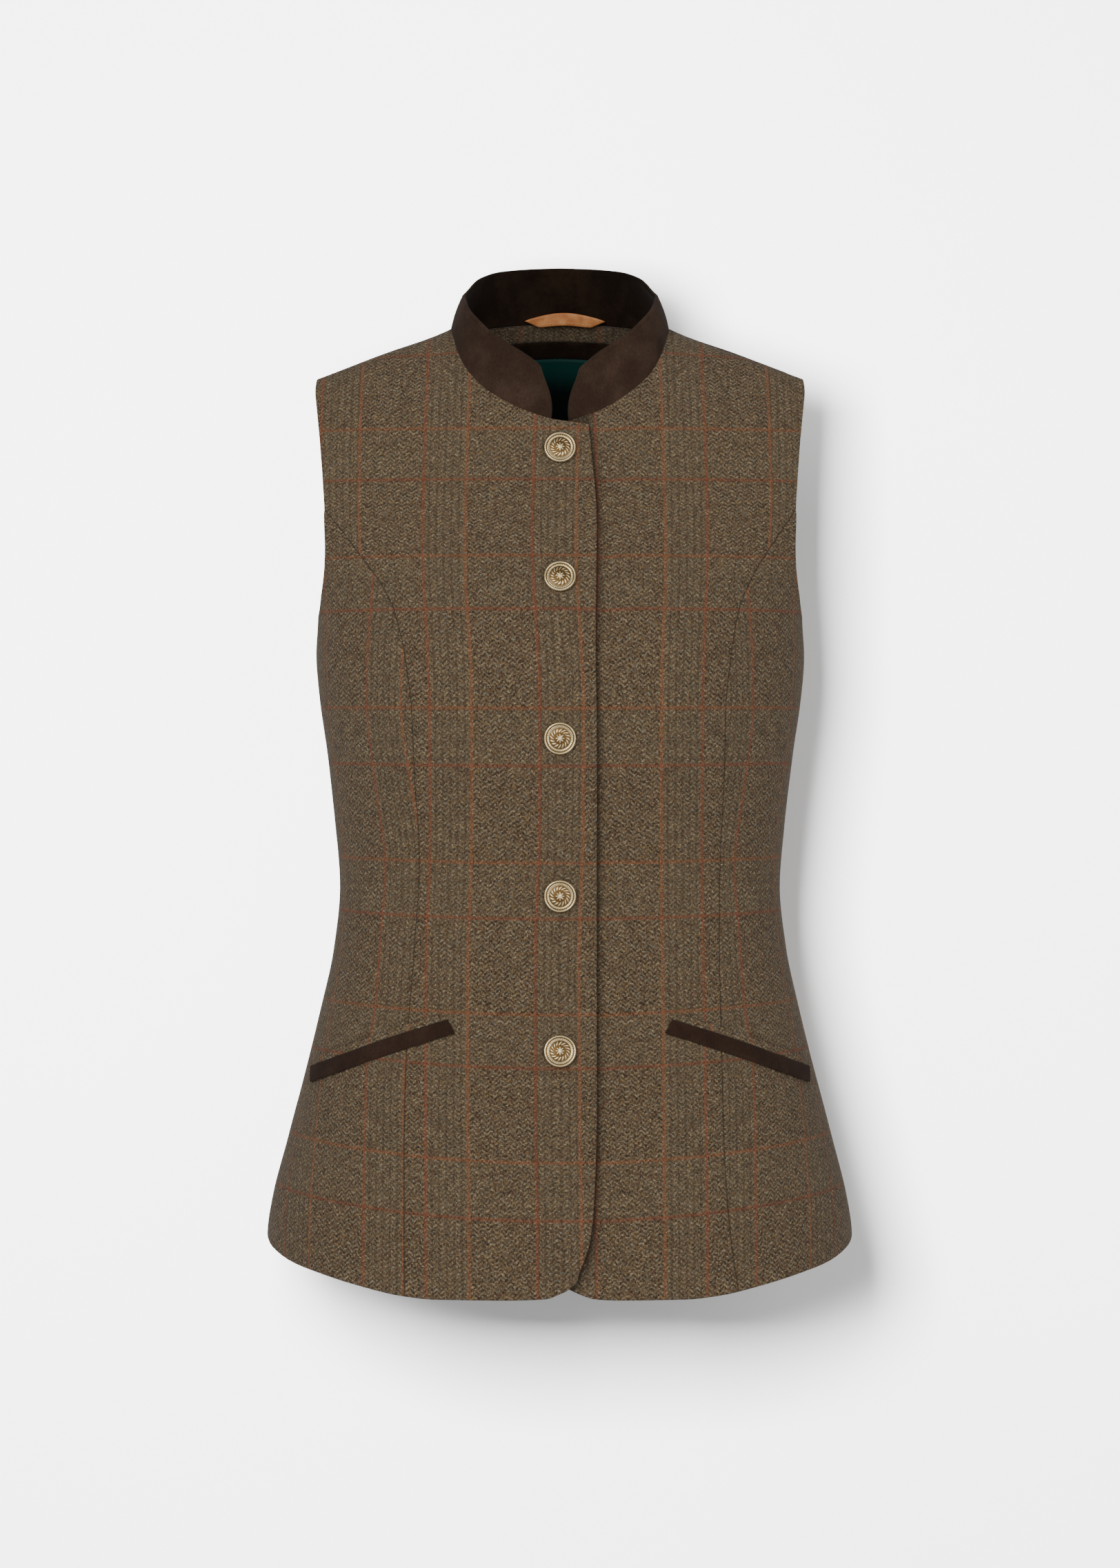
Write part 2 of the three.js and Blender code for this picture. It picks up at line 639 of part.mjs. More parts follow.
function insideBack(name, rows, reach, thickness, depth, finish) {
  const part = cutGrid(wholeBack, rows, [backMiddle - reach, backMiddle + reach]);
  const own = part.map((row) => row.map(({ point, normal }) => ({ point: point.clone(), normal })));
  if (rows[0] > 0) seamIn(own, 'top');
  seamIn(own, 'bottom');
  addPiece(name, wallOver(own, thickness, -depth), finish);
}

// Label: whole columns of the back between two straight upright edges
function labelGrid() {
  const atAcross = (row, across) => {
    const right = row.findIndex(({ point }) => point.x > across);
    const [a, b] = [row[right - 1], row[right]];
    const share = (across - a.point.x) / (b.point.x - a.point.x);
    return {
      point: a.point.clone().lerp(b.point, share),
      normal: a.normal.clone().lerp(b.normal, share).normalize(),
    };
  };
  return wholeBack.slice(LABEL_ROWS[0], LABEL_ROWS[1] + 1).map((row) => [
    atAcross(row, -LABEL_HALF),
    ...row.slice(backMiddle - LABEL_COLUMNS, backMiddle + LABEL_COLUMNS + 1)
      .map(({ point, normal }) => ({ point: point.clone(), normal })),
    atAcross(row, LABEL_HALF),
  ]);
}

const liningDepth = WALL + SEAM_GAP;
insideBack('back_neck_facing', FACING_ROWS, neckReach, FACING_WALL, liningDepth, 'tweed');
insideBack('facing_band', BAND_ROWS, neckReach, FACING_WALL, liningDepth, 'suede');
insideBack('back_lining', LINING_ROWS, neckReach, LINING_WALL, liningDepth, 'lining');
const label = labelGrid();
seamIn(label, 'top');
addPiece('label', wallOver(label, LABEL_WALL, -(liningDepth + LINING_WALL + SEAM_GAP)), 'label');

// The neck line from the collar's right end round the back to its left end
const neckLine = [
  ...necks.right.front,
  ...[...necks.right.back].reverse().slice(1),
  ...necks.left.back.slice(1),
  ...[...necks.left.front].reverse().slice(1),
].map(({ point }) => point);

const collarHeightAt = curve(COLLAR_FORM, 'round', 'height');
const collarLeanAt = curve(COLLAR_FORM, 'round', 'lean');

// How much of the collar's height is left near its rounded front end
function cornerShare(fromEnd) {
  const { length, power, low } = COLLAR_CORNER;
  const left = 1 - THREE.MathUtils.clamp(fromEnd / length, 0, 1);
  return mix(low, 1, (1 - left ** power) ** (1 / power));
}

function collarFrames() {
  const lengths = [0];
  neckLine.slice(1).forEach((point, i) => lengths.push(lengths[i] + point.distanceTo(neckLine[i])));
  const total = lengths[lengths.length - 1];
  const at = (length) => {
    const found = Math.min(neckLine.length - 1, Math.max(1, lengths.findIndex((value) => value > length - 1e-9)));
    const span = lengths[found] - lengths[found - 1];
    return neckLine[found - 1].clone().lerp(neckLine[found], (length - lengths[found - 1]) / span);
  };
  const ends = COLLAR_END_STEPS.flatMap((step) => [step, total - step]);
  const stations = [...lengths, ...ends].sort((a, b) => a - b);
  const spread = 9;
  return stations.map((length) => {
    const point = at(length);
    const before = at(Math.max(0, length - spread));
    const along = at(Math.min(total, length + spread)).sub(before).normalize();
    const fromEnd = Math.min(length, total - length);
    const round = fromEnd / (total / 2);
    const lean = degrees(collarLeanAt(round));
    const inward = new THREE.Vector3(-point.x, NECK_AXIS_Y - point.y, 0).normalize();
    const rise = new THREE.Vector3(0, 0, Math.cos(lean)).addScaledVector(inward, Math.sin(lean));
    rise.addScaledVector(along, -rise.dot(along)).normalize();
    const end = COLLAR_END_SLANT.clone();
    end.x *= Math.sign(point.x);
    rise.lerp(end.normalize(), 1 - THREE.MathUtils.smoothstep(fromEnd, 0, COLLAR_END_BLEND)).normalize();
    const out = along.clone().cross(rise).normalize();
    if (out.dot(inward) > 0) out.negate();
    return { point, rise, out, height: collarHeightAt(round) * cornerShare(fromEnd) };
  });
}

const collarStations = collarFrames();
const collarGrid = COLLAR_RISE_STEPS.map((share) => collarStations.map(({ point, rise, out, height }) => ({
  point: point.clone().addScaledVector(rise, COLLAR_GAP + share * height),
  normal: out,
})));
addPiece('collar', wallOver(collarGrid, COLLAR_WALL), 'suede');

// The hanger loop arches over the back neck seam, on the collar's inner face
function loopGrid() {
  const backStations = collarStations.filter(({ point }) => point.y > NECK_AXIS_Y + 20)
    .map(({ point, rise, out }) => ({
      across: point.x, y: point.y, level: point.z, outX: out.x, outY: out.y, outZ: out.z, leanY: rise.y,
    }));
  const along = (key) => curve(backStations, 'across', key);
  const [y, level, outX, outY, outZ, leanY] = ['y', 'level', 'outX', 'outY', 'outZ', 'leanY'].map(along);
  return [1, 0, -1].map((edge) => Array.from({ length: LOOP.steps + 1 }, (_, i) => {
    const share = i / LOOP.steps;
    const arch = Math.sin(Math.PI * share);
    const across = mix(LOOP.from - LOOP.slant * edge, LOOP.to + LOOP.slant * edge, share);
    const half = (LOOP.width / 2) * mix(LOOP.end, 1, arch ** 0.6);
    const rise = LOOP.rise * (2 * arch - 1) + edge * half;
    const normal = new THREE.Vector3(outX(across), outY(across), outZ(across)).normalize();
    const inward = COLLAR_WALL + LOOP.close + LOOP.proud * arch;
    const point = new THREE.Vector3(across, y(across) + leanY(across) * rise, level(across) + rise + LOOP.above);
    point.addScaledVector(normal, -inward);
    return { point, normal };
  }));
}
addPiece('hanger_loop', wallOver(loopGrid(), LOOP_WALL), 'leather');

// Pocket jets lie on the front, across its princess seam
function pocketGrid(side, above, below, inset = 0) {
  const levelAt = curve(POCKET, 'across', 'level');
  const outer = POCKET[POCKET.length - 1].across - inset;
  const end = turnAt(outer, levelAt(outer));
  return [above, (above + below) / 2, below].map((offset) => (
    Array.from({ length: POCKET_STEPS + 1 }, (_, i) => {
      const inner = POCKET[0].across + inset + (JET_SLANT * offset) / (JET_HEIGHT / 2);
      const turn = mix(turnAt(inner, levelAt(inner)), end, i / POCKET_STEPS);
      const across = surface(turn, POCKET[1].level).x;
      const { point, normal } = frontSpot(across, levelAt(across) + offset);
      point.x *= side;
      normal.x *= side;
      return { point, normal };
    })));
}

for (const { name, side } of SIDES) {
  const top = JET_HEIGHT / 2;
  const lift = LAY_GAP + JET_WALL;
  addPiece(`pocket_${name}_jet`, wallOver(pocketGrid(side, top, -top), JET_WALL, lift), 'suede');
  const lipGrid = pocketGrid(side, top + SEAM_GAP + LIP_HEIGHT, top + SEAM_GAP, LIP_INSET);
  addPiece(`pocket_${name}_lip`, wallOver(lipGrid, JET_WALL, lift), 'tweed');
}

// A domed shank button: the shank goes through its buttonhole to the left front
function buttonGeometry(depth) {
  const { radius, rim, dome, shank, sides } = BUTTON;
  const back = BUTTON.lift;
  const foot = SEAM_GAP - depth;
  const profile = [
    [0, foot], [shank, foot], [shank, back], [radius - 1.2, back], [radius, back + 0.8], [radius, back + rim],
    [radius - 0.9, back + rim + 0.5], [radius - 1.8, back + rim], [radius * 0.55, back + rim + dome * 0.75],
    [0, back + rim + dome],
  ].map(([r, z]) => new THREE.Vector2(r, z));
  const geometry = new THREE.LatheGeometry(profile, sides);
  geometry.rotateX(Math.PI / 2);
  return geometry;
}

buttonSpots.forEach(({ point, normal, depth }, i) => {
  const button = addPiece(`button_${i + 1}`, buttonGeometry(depth), 'brass');
  button.quaternion.copy(facing(normal));
  button.position.copy(point);
});

export default waistcoat;
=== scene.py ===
"""Looks of a tweed waistcoat with a suede stand collar, filled out as when it is worn.

The cloth follows the same form as its solids: its tables are in millimetres, as a cutter would give them,
and every mesh is made in metres. +X is the wearer's left, -Y the front and +Z up.
"""

import math
from bisect import bisect_right

import bpy
from mathutils import Matrix, Vector, noise


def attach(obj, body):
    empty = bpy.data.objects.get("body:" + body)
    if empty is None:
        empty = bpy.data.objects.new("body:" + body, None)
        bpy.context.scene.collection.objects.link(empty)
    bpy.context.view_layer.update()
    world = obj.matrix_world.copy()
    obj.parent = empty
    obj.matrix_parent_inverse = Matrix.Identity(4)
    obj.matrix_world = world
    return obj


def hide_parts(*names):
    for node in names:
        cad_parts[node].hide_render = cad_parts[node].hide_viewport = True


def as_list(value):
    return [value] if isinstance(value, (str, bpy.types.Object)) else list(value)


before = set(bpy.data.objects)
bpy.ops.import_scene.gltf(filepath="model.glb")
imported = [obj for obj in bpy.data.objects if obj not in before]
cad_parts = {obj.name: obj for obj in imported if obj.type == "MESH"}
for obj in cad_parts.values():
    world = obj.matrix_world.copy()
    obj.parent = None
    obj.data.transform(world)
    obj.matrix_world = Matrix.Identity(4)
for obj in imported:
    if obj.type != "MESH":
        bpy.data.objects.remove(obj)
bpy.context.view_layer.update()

MM = 0.001

# Studio, in metres, its lamps in watts, and the brightness of the room
WALL_BEHIND = 0.18
FLOOR_LEVEL = -0.95
ROOM = 6.0
WORLD_LIGHT = 0.34
KEY_POWER = 42
FILL_POWER = 25
BACK_POWER = 48
BACKDROP_POWER = 315
WASH_POWER = 22

# Thicknesses, and the gaps between the pieces
WALL = 2.4
COLLAR_WALL = 3.0
FACING_WALL = 1.4
LINING_WALL = 1.0
LABEL_WALL = 1.0
JET_WALL = 1.6
LOOP_WALL = 1.8
SEAM_GAP = 0.3
LAY_GAP = 0.5
FAR = 1e6

# The left front under the right one: how deep it lies, and the painted shadow beside the edge that laps over
# it
LAP_DEPTH = WALL + 1.0
LAP_START = 27
LAP_END = 54
LAP_SHADE, LAP_SHADE_WIDTH = 0.95, 6

# Unevenness of the pressed cloth, and the width of the painted shade in a pressed seam
SLOW_RIPPLE, QUICK_RIPPLE = 0.45, 0.18
SEAM_SHADE_WIDTH = 0.5

# The filled-out form, level by level: half width, depth of the front and depth of the back
FIGURE_LEVEL = [60, 10, -32, -68, -100, -128, -157, -185, -205, -231, -260, -303, -347, -393, -435, -478,
                -522, -565, -609, -632, -690]
FIGURE_HALF = [192, 192, 191, 190, 189, 186, 179, 173, 170, 171.2, 169, 163, 158, 154.5, 158.8, 168,
               178.8, 190, 201.3, 204.8, 207]
FIGURE_FRONT = [8, 16, 30, 45, 55, 66, 78, 89, 96, 103, 107, 107, 102, 98, 101, 108, 118, 127, 135, 139, 144]
FIGURE_BACK = [78, 84, 88, 92, 97, 101, 103, 102, 100, 96, 91, 84, 77, 73, 78, 92, 109, 121, 129, 132, 136]
SECTION_POWER = 2.4
CUP_RISE, CUP_ACROSS, CUP_LEVEL, CUP_WIDTH, CUP_HEIGHT = 10, 86, -250, 44, 62

# The shoulder ridge, by distance across, and how far down each side turns over it
RIDGE_ACROSS = [0, 40, 77, 125, 171.6, 200]
RIDGE_LEVEL = [45, 26, 0, -18.1, -36.2, -47]
RIDGE_Y = [12, 12, 12, 8, 4, 2]
FRONT_ROUND = 85
BACK_ROUND = 110

NECK_HALF = 77
TIP_ACROSS = 171.6
BACK_NECK_RISE = 10
UNDERARM_LEVEL = -208
SIDE_SEAM_TURN = 93
SIDE_REACH = 170
PRINCESS_START = -130
PRINCESS_HEM_TURN = 28
CORNER_PULL = 40

# Grids of the panels: columns, rows, and the close steps beside an edge
FRONT_COLUMNS, BACK_COLUMNS, SIDE_COLUMNS = 14, 13, 6
SHOULDER_ROWS, BACK_ARM_ROWS, BODY_ROWS = 7, 12, 22
TOP_EASE = 0.5
FRONT_TOP_SHARE = 0.15
BACK_TOP_SHARE = 0.285
FRONT_NECK_STEPS = [-20.1, -7, 6, 18, 31, 44, 56, 66, 73, NECK_HALF]
BACK_NECK_STEPS = [0, 10, 20, 30, 41, 52, 62, 71, NECK_HALF]
SHOULDER_STEPS = [96, 115, 134, 153, TIP_ACROSS]
COLLAR_START = 2
END_STEPS = [0.02, 0.05, 0.09, 0.15, 0.28]
STEP = 0.01

# Panel edges, by level: how far across they lie
FRONT_NECK_ACROSS = [-24, -7, 6, 15, 30, 51, 65, 71.5, 77]
FRONT_NECK_LEVEL = [-72.2, -69.6, -67.6, -64.8, -58.9, -46.4, -31.5, -18.5, 0]
FRONT_ARMHOLE_LEVEL = [-36.2, -44, -56, -86, -115, -130, -159, -174, -188, -200]
FRONT_ARMHOLE_ACROSS = [171.6, 172.2, 171, 167.7, 165.3, 164.4, 164, 164.8, 166.8, 168.8]
BACK_ARMHOLE_LEVEL = [-36.2, -60, -90, -120, -150, -175, -192, -202]
BACK_ARMHOLE_ACROSS = [171.6, 168.5, 164.5, 162.5, 162.8, 165, 167.3, 168.8]
PRINCESS_LEVEL = [-130, -146, -162, -180, -201, -235, -265, -320, -372, -435, -500, -560, -620, -670]
PRINCESS_ACROSS = {
    "right": [164.4, 151, 139, 125.5, 114.3, 106, 102, 99.3, 96.6, 100.1, 104.8, 106, 105.6, 105],
    "left": [164.4, 153.5, 142.5, 132, 123.5, 117.3, 114, 112.6, 110.4, 109.6, 110.6, 111.5, 115, 122],
}
FREE_EDGE_LEVEL = [-72, -140, -225, -300, -530, -597, -633, -646, -656]
FREE_EDGE_ACROSS = {
    "right": [-20.1, -25.4, -24.4, -25.2, -25.2, -23.7, -21.3, -17.3, -12],
    "left": [-20, -22, -22, -22, -22, -21, -19, -16, -11],
}
CORNER = {"right": (-12, -656), "left": (-16, -646)}
CORNER_HEM = {
    "right": [(-12, -656), (-2, -663.5), (9, -667.5)],
    "left": [(-16, -646), (-4, -656), (8.4, -662.3), (24.6, -667.8)],
}
HEM_TURN = [8, 20, 27, 38, 51, 62, 74, 93, 120, 150, 180]
HEM_LEVEL = [-668.5, -668.5, -666.8, -661, -654, -649, -642.5, -635, -638, -645, -648]

# The check: orange and rust over-check yarns in pairs, both along and across the cloth
CHECK_PAIR_ACROSS, CHECK_REPEAT_ACROSS = 29.5, 75.9
CHECK_PAIR_DOWN, CHECK_REPEAT_DOWN = 38, 103
WEFT_LINE_LEVELS = [-74.3, -110.4, -164.2, -201.3, -269.5, -308.8, -375, -413.1, -478, -513.9, -577, -615.6]
SIDE_RISE_LEVELS = [-200, -375, -577, -650]
SIDE_RISE = [0, 4, 11, 12]
SIDE_RISE_ACROSS = 164
BACK_YARN_ACROSS = 14.7

# Herringbone: a two-and-two twill, its yarns and the stripes between the over-check pairs
END_PITCH, PICK_PITCH = 0.79, 0.81
TWILL_ENDS = 4
STRIPE_HALF = 2.6

# Where one over-check yarn lies on each panel, by level, which places all the others
GRAIN = {
    "right_centre": {"yarn": 0, "level": [-37, -155, -265, -345, -448, -678],
                     "across": [63, 65.3, 60, 60, 63, 61]},
    "left_centre": {"yarn": 0, "level": [-37, -155, -265, -345, -448, -678],
                    "across": [70, 72.5, 69, 69, 70, 71]},
    "side": {"yarn": CHECK_PAIR_ACROSS, "level": [-150, -181, -228, -265, -324, -378, -430, -469, -525, -657],
             "across": [127, 128.8, 132, 132.6, 126.4, 120, 123.6, 126.4, 132.6, 133.5]},
    "back": {"yarn": 0, "level": [10, -648], "across": [BACK_YARN_ACROSS, BACK_YARN_ACROSS]},
}

# The collar, from its ends in front to the centre back: height and lean, then its corners and edge
COLLAR_ROUND = [0, 0.2, 0.3, 0.4, 0.48, 0.54, 0.58, 0.63, 0.7, 0.8, 1]
COLLAR_HEIGHT = [36, 35.8, 33.8, 31, 27.6, 26, 28.6, 32.6, 36, 38.2, 39]
COLLAR_LEAN = [12.5, 12.5, 10.5, 7.5, 8.5, 17, 23.5, 22, 16, 11.5, 10.7]
CORNER_LENGTH, CORNER_POWER, CORNER_LOW = 42, 2.35, 0.08
COLLAR_END_SLANT = Vector((-0.07, 0, 0.95))
COLLAR_END_BLEND = 26
COLLAR_FULLNESS = 0.9
GROOVE_SHARE, GROOVE_DEPTH, GROOVE_WIDTH = 0.895, 0.3, 0.6
STITCHED_FROM = 0.4 * CORNER_LENGTH
COLLAR_SEAT = 1.1
NECK_AXIS_Y = 12

# Inside the back neck: rows of the back that each layer covers, and its reach
FACING_ROWS, BAND_ROWS, LINING_ROWS, LABEL_ROWS = (0, 2), (2, 3), (3, 10), (3, 6)
LABEL_HALF, LABEL_COLUMNS = 31, 3
# The label darkens with painted shade from the first level down to the second
LABEL_TOP_LEVEL, LABEL_DARK_LEVEL = -22, -42
INSIDE_COLUMNS = 8
LINING_DEPTH = WALL + SEAM_GAP
# Least painted shade over the layers inside the back neck, which shows on the tweed strip
INSIDE_SHADE = 0.28

# The hanger loop along the collar, and its seam
LOOP_FROM, LOOP_TO, LOOP_SLANT, LOOP_WIDTH, LOOP_END = -22.4, 29.7, 5, 9, 0.5
LOOP_ABOVE, LOOP_RISE, LOOP_CLOSE, LOOP_PROUD = 1.5, 1.6, 1.5, 2.8
LOOP_SEAM_EDGE, LOOP_SEAM_INSET = -0.48, 0.06
BEHIND_NECK = 20

# The pockets' line across each front
POCKET_ACROSS = [72, 123, 177.4]
POCKET_LEVEL = [-485.5, -502.6, -524.5]
JET_SLANT = 2.6
LIP_INSET = 4.5
JET_HEIGHT, LIP_HEIGHT = 11, 5

# The buttons: levels, size, the rings of the face, and the rings from the edge down to the shank
BUTTON_LEVELS = [-88.6, -179.6, -290, -397.5, -502.7]
BUTTON_RADIUS, BUTTON_LIFT, BUTTON_FULL = 10.8, 0.6, 1.025
BUTTON_RINGS = [0.6, 1.2, 1.8, 2.3, 2.7, 3.0, 3.4, 3.8, 4.3, 4.8, 5.3, 5.8, 6.3, 6.7, 7.1, 7.5, 7.85, 8.1,
                8.35, 8.6, 8.85, 9.05, 9.25, 9.5, 9.8, 10.1, 10.4, 10.62, 10.75]
PETALS, LEAVES, BEADS = 8, 16, 44
BUTTON_BACK = [(BUTTON_RADIUS, 1.7), (BUTTON_RADIUS, 0.9), (10.3, 0.25), (9.6, 0.0), (2.2, 0.0), (1.9, -0.4),
               (1.9, -2.8)]
BUTTON_SECTORS = 132
HOLE_HALF, HOLE_FROM, HOLE_TO, HOLE_PROUD = 1.3, -9.9, -2.0, 0.25

# The smallest flat size that a sheet may have, in metres
LEAST_CUT = 0.01

# Photograph: 1624 by 2274 pixels, and the millimetres to a pixel in the plane of the side seams
PHOTO_HEIGHT, PIXEL = 2274, 0.485
FRAME_HEIGHT = PHOTO_HEIGHT * PIXEL * MM
EYE_DISTANCE = 3.2
EYE_LEVEL = -0.321
SENSOR = 36


def mix(a, b, share):
    return a + (b - a) * share


def smoothstep(x, low, high):
    t = min(1.0, max(0.0, (x - low) / (high - low)))
    return t * t * (3 - 2 * t)


def curve(xs, ys):
    """A smooth, never overshooting curve through the points of two matching lists."""
    pairs = sorted(zip(xs, ys))
    xs = [p[0] for p in pairs]
    ys = [p[1] for p in pairs]
    rises = [(ys[i + 1] - ys[i]) / (xs[i + 1] - xs[i]) for i in range(len(xs) - 1)]
    slopes = [rises[0]]
    for before, after in zip(rises, rises[1:]):
        slopes.append(2 * before * after / (before + after) if before * after > 0 else 0.0)
    slopes.append(rises[-1])

    def at(x):
        if x <= xs[0]:
            return ys[0] + (x - xs[0]) * slopes[0]
        if x >= xs[-1]:
            return ys[-1] + (x - xs[-1]) * slopes[-1]
        i = bisect_right(xs, x) - 1
        span = xs[i + 1] - xs[i]
        t = (x - xs[i]) / span
        return (ys[i] * (1 + 2 * t) * (1 - t) ** 2 + slopes[i] * span * t * (1 - t) ** 2
                + ys[i + 1] * t * t * (3 - 2 * t) + slopes[i + 1] * span * t * t * (t - 1))

    return at


def both_sides(across, values):
    return [*across, *(-x for x in across[1:])], [*values, *values[1:]]


half_at = curve(FIGURE_LEVEL, FIGURE_HALF)
front_at = curve(FIGURE_LEVEL, FIGURE_FRONT)
back_at = curve(FIGURE_LEVEL, FIGURE_BACK)
ridge_level_at = curve(*both_sides(RIDGE_ACROSS, RIDGE_LEVEL))
ridge_y_at = curve(*both_sides(RIDGE_ACROSS, RIDGE_Y))
front_neck_at = curve(FRONT_NECK_ACROSS, FRONT_NECK_LEVEL)
hem_at = curve(HEM_TURN, HEM_LEVEL)
front_armhole_at = curve(FRONT_ARMHOLE_LEVEL, FRONT_ARMHOLE_ACROSS)
back_armhole_at = curve(BACK_ARMHOLE_LEVEL, BACK_ARMHOLE_ACROSS)


def surface(turn, level):
    """The outer face of the cloth. turn is 0 at the centre front and pi at the centre back."""
    angle = abs(turn)
    across = half_at(level) * max(0.0, math.sin(angle)) ** (2 / SECTION_POWER)
    shape = abs(math.cos(angle)) ** (2 / SECTION_POWER)
    if angle < math.pi / 2:
        cup = CUP_RISE * math.exp(-((across - CUP_ACROSS) / CUP_WIDTH) ** 2
                                  - ((level - CUP_LEVEL) / CUP_HEIGHT) ** 2)
        section = -(front_at(level) + cup) * shape
        height = FRONT_ROUND
    else:
        section = back_at(level) * shape
        height = BACK_ROUND
    ridge_y = ridge_y_at(across)
    drop = min(1.0, max(0.0, (ridge_level_at(across) - level) / height))
    y = ridge_y + (section - ridge_y) * math.sqrt(1 - (1 - drop) ** 2)
    return Vector((math.copysign(across, turn), y, level))


def turn_at(across, level):
    share = min(1.0, abs(across) / half_at(level))
    return math.copysign(math.asin(share ** (SECTION_POWER / 2)), across)


def on_front(across, level):
    return turn_at(across, level), level


def on_back(across, level):
    return math.pi - turn_at(across, level), level


def patch(edges, across, down):
    """A spot, in turn and level, between four edges."""
    inner, outer, top, bottom = edges
    a, b = inner(down), outer(down)
    top_start, top_end, here_top = top(0), top(1), top(across)
    low_start, low_end, here_low = bottom(0), bottom(1), bottom(across)
    top_hold = (1 - down) ** 3
    bottom_hold = down ** 3
    return tuple(
        mix(a[k], b[k], across)
        + top_hold * (here_top[k] - mix(top_start[k], top_end[k], across))
        + bottom_hold * (here_low[k] - mix(low_start[k], low_end[k], across))
        for k in (0, 1)
    )


def row_share(row, top_rows, top_share):
    """How far down its panel a row lies. The top rows are closer together at first."""
    if row >= top_rows:
        return top_share + (1 - top_share) * (row - top_rows) / BODY_ROWS
    t = row / top_rows
    return top_share * t * t * (1 + TOP_EASE) / (t + TOP_EASE)


def side_seam(share):
    return math.radians(SIDE_SEAM_TURN), mix(UNDERARM_LEVEL, hem_at(SIDE_SEAM_TURN), share)


def princess_seam(name):
    across_at = curve(PRINCESS_LEVEL, PRINCESS_ACROSS[name])
    end = on_front(across_at(hem_at(PRINCESS_HEM_TURN)), hem_at(PRINCESS_HEM_TURN))
    hem_level = hem_at(math.degrees(end[0]))

    def at(share):
        level = mix(PRINCESS_START, hem_level, share)
        return on_front(across_at(level), level)

    return at


def top_edge(neck_steps, neck_level_at, on_side):
    steps = [*neck_steps, *SHOULDER_STEPS]
    across_at = curve(range(len(steps)), steps)

    def at(share):
        across = across_at(share * (len(steps) - 1))
        level = neck_level_at(across) if across < NECK_HALF - 1e-9 else ridge_level_at(across)
        return on_side(across, level)

    return at


def front_centre_edges(name):
    princess = princess_seam(name)
    free_edge_at = curve(FREE_EDGE_LEVEL, FREE_EDGE_ACROSS[name])
    corner_across, corner_level = CORNER[name]
    top_level = front_neck_at(FRONT_NECK_STEPS[0])

    def inner(share):
        level = mix(top_level, corner_level, share)
        end = FRONT_NECK_STEPS[0] if share < 0.5 else corner_across
        across = FRONT_NECK_STEPS[0] if share == 0 else mix(free_edge_at(level), end, share ** CORNER_PULL)
        return on_front(across, level)

    def outer(share):
        if share >= FRONT_TOP_SHARE:
            return princess((share - FRONT_TOP_SHARE) / (1 - FRONT_TOP_SHARE))
        level = mix(ridge_level_at(TIP_ACROSS), PRINCESS_START, share / FRONT_TOP_SHARE)
        return on_front(front_armhole_at(level), level)

    turns = [math.degrees(turn_at(*spot)) for spot in CORNER_HEM[name]]
    levels = [level for _, level in CORNER_HEM[name]]
    centre_hem_at = curve([*turns, *HEM_TURN], [*levels, *HEM_LEVEL])
    start = turn_at(corner_across, corner_level)
    end_turn = outer(1)[0]

    def bottom(share):
        turn = mix(start, end_turn, share)
        return turn, centre_hem_at(math.degrees(turn))

    return inner, outer, top_edge(FRONT_NECK_STEPS, front_neck_at, on_front), bottom


def front_side_edges(name):
    princess = princess_seam(name)
    low = [(a, z) for z, a in zip(FRONT_ARMHOLE_LEVEL, FRONT_ARMHOLE_ACROSS) if z <= PRINCESS_START]
    spots = [*(on_front(a, z) for a, z in low), side_seam(0)]
    lengths = [0.0]
    for a, b in zip(spots, spots[1:]):
        lengths.append(lengths[-1] + math.hypot((b[0] - a[0]) * SIDE_REACH, b[1] - a[1]))
    turn_of = curve(lengths, [s[0] for s in spots])
    level_of = curve(lengths, [s[1] for s in spots])

    def top(share):
        length = share * lengths[-1]
        return turn_of(length), level_of(length)

    def bottom(share):
        turn = mix(princess(1)[0], math.radians(SIDE_SEAM_TURN), share)
        return turn, hem_at(math.degrees(turn))

    return princess, side_seam, top, bottom


def back_edges():
    def neck_at(across):
        return BACK_NECK_RISE * (1 - (across / NECK_HALF) ** 2)

    def inner(share):
        return math.pi, mix(BACK_NECK_RISE, hem_at(180), share)

    def outer(share):
        if share >= BACK_TOP_SHARE:
            return side_seam((share - BACK_TOP_SHARE) / (1 - BACK_TOP_SHARE))
        down = share / BACK_TOP_SHARE
        level = mix(ridge_level_at(TIP_ACROSS), UNDERARM_LEVEL, down)
        turn, _ = on_back(back_armhole_at(level), level)
        return mix(turn, math.radians(SIDE_SEAM_TURN), smoothstep(down, 0.8, 1) ** 2), level

    def bottom(share):
        turn = mix(math.pi, math.radians(SIDE_SEAM_TURN), share)
        return turn, hem_at(math.degrees(turn))

    return inner, outer, top_edge(BACK_NECK_STEPS, neck_at, on_back), bottom


def lengths_along(points):
    lengths = [0.0]
    for a, b in zip(points, points[1:]):
        lengths.append(lengths[-1] + (b - a).length)
    return lengths


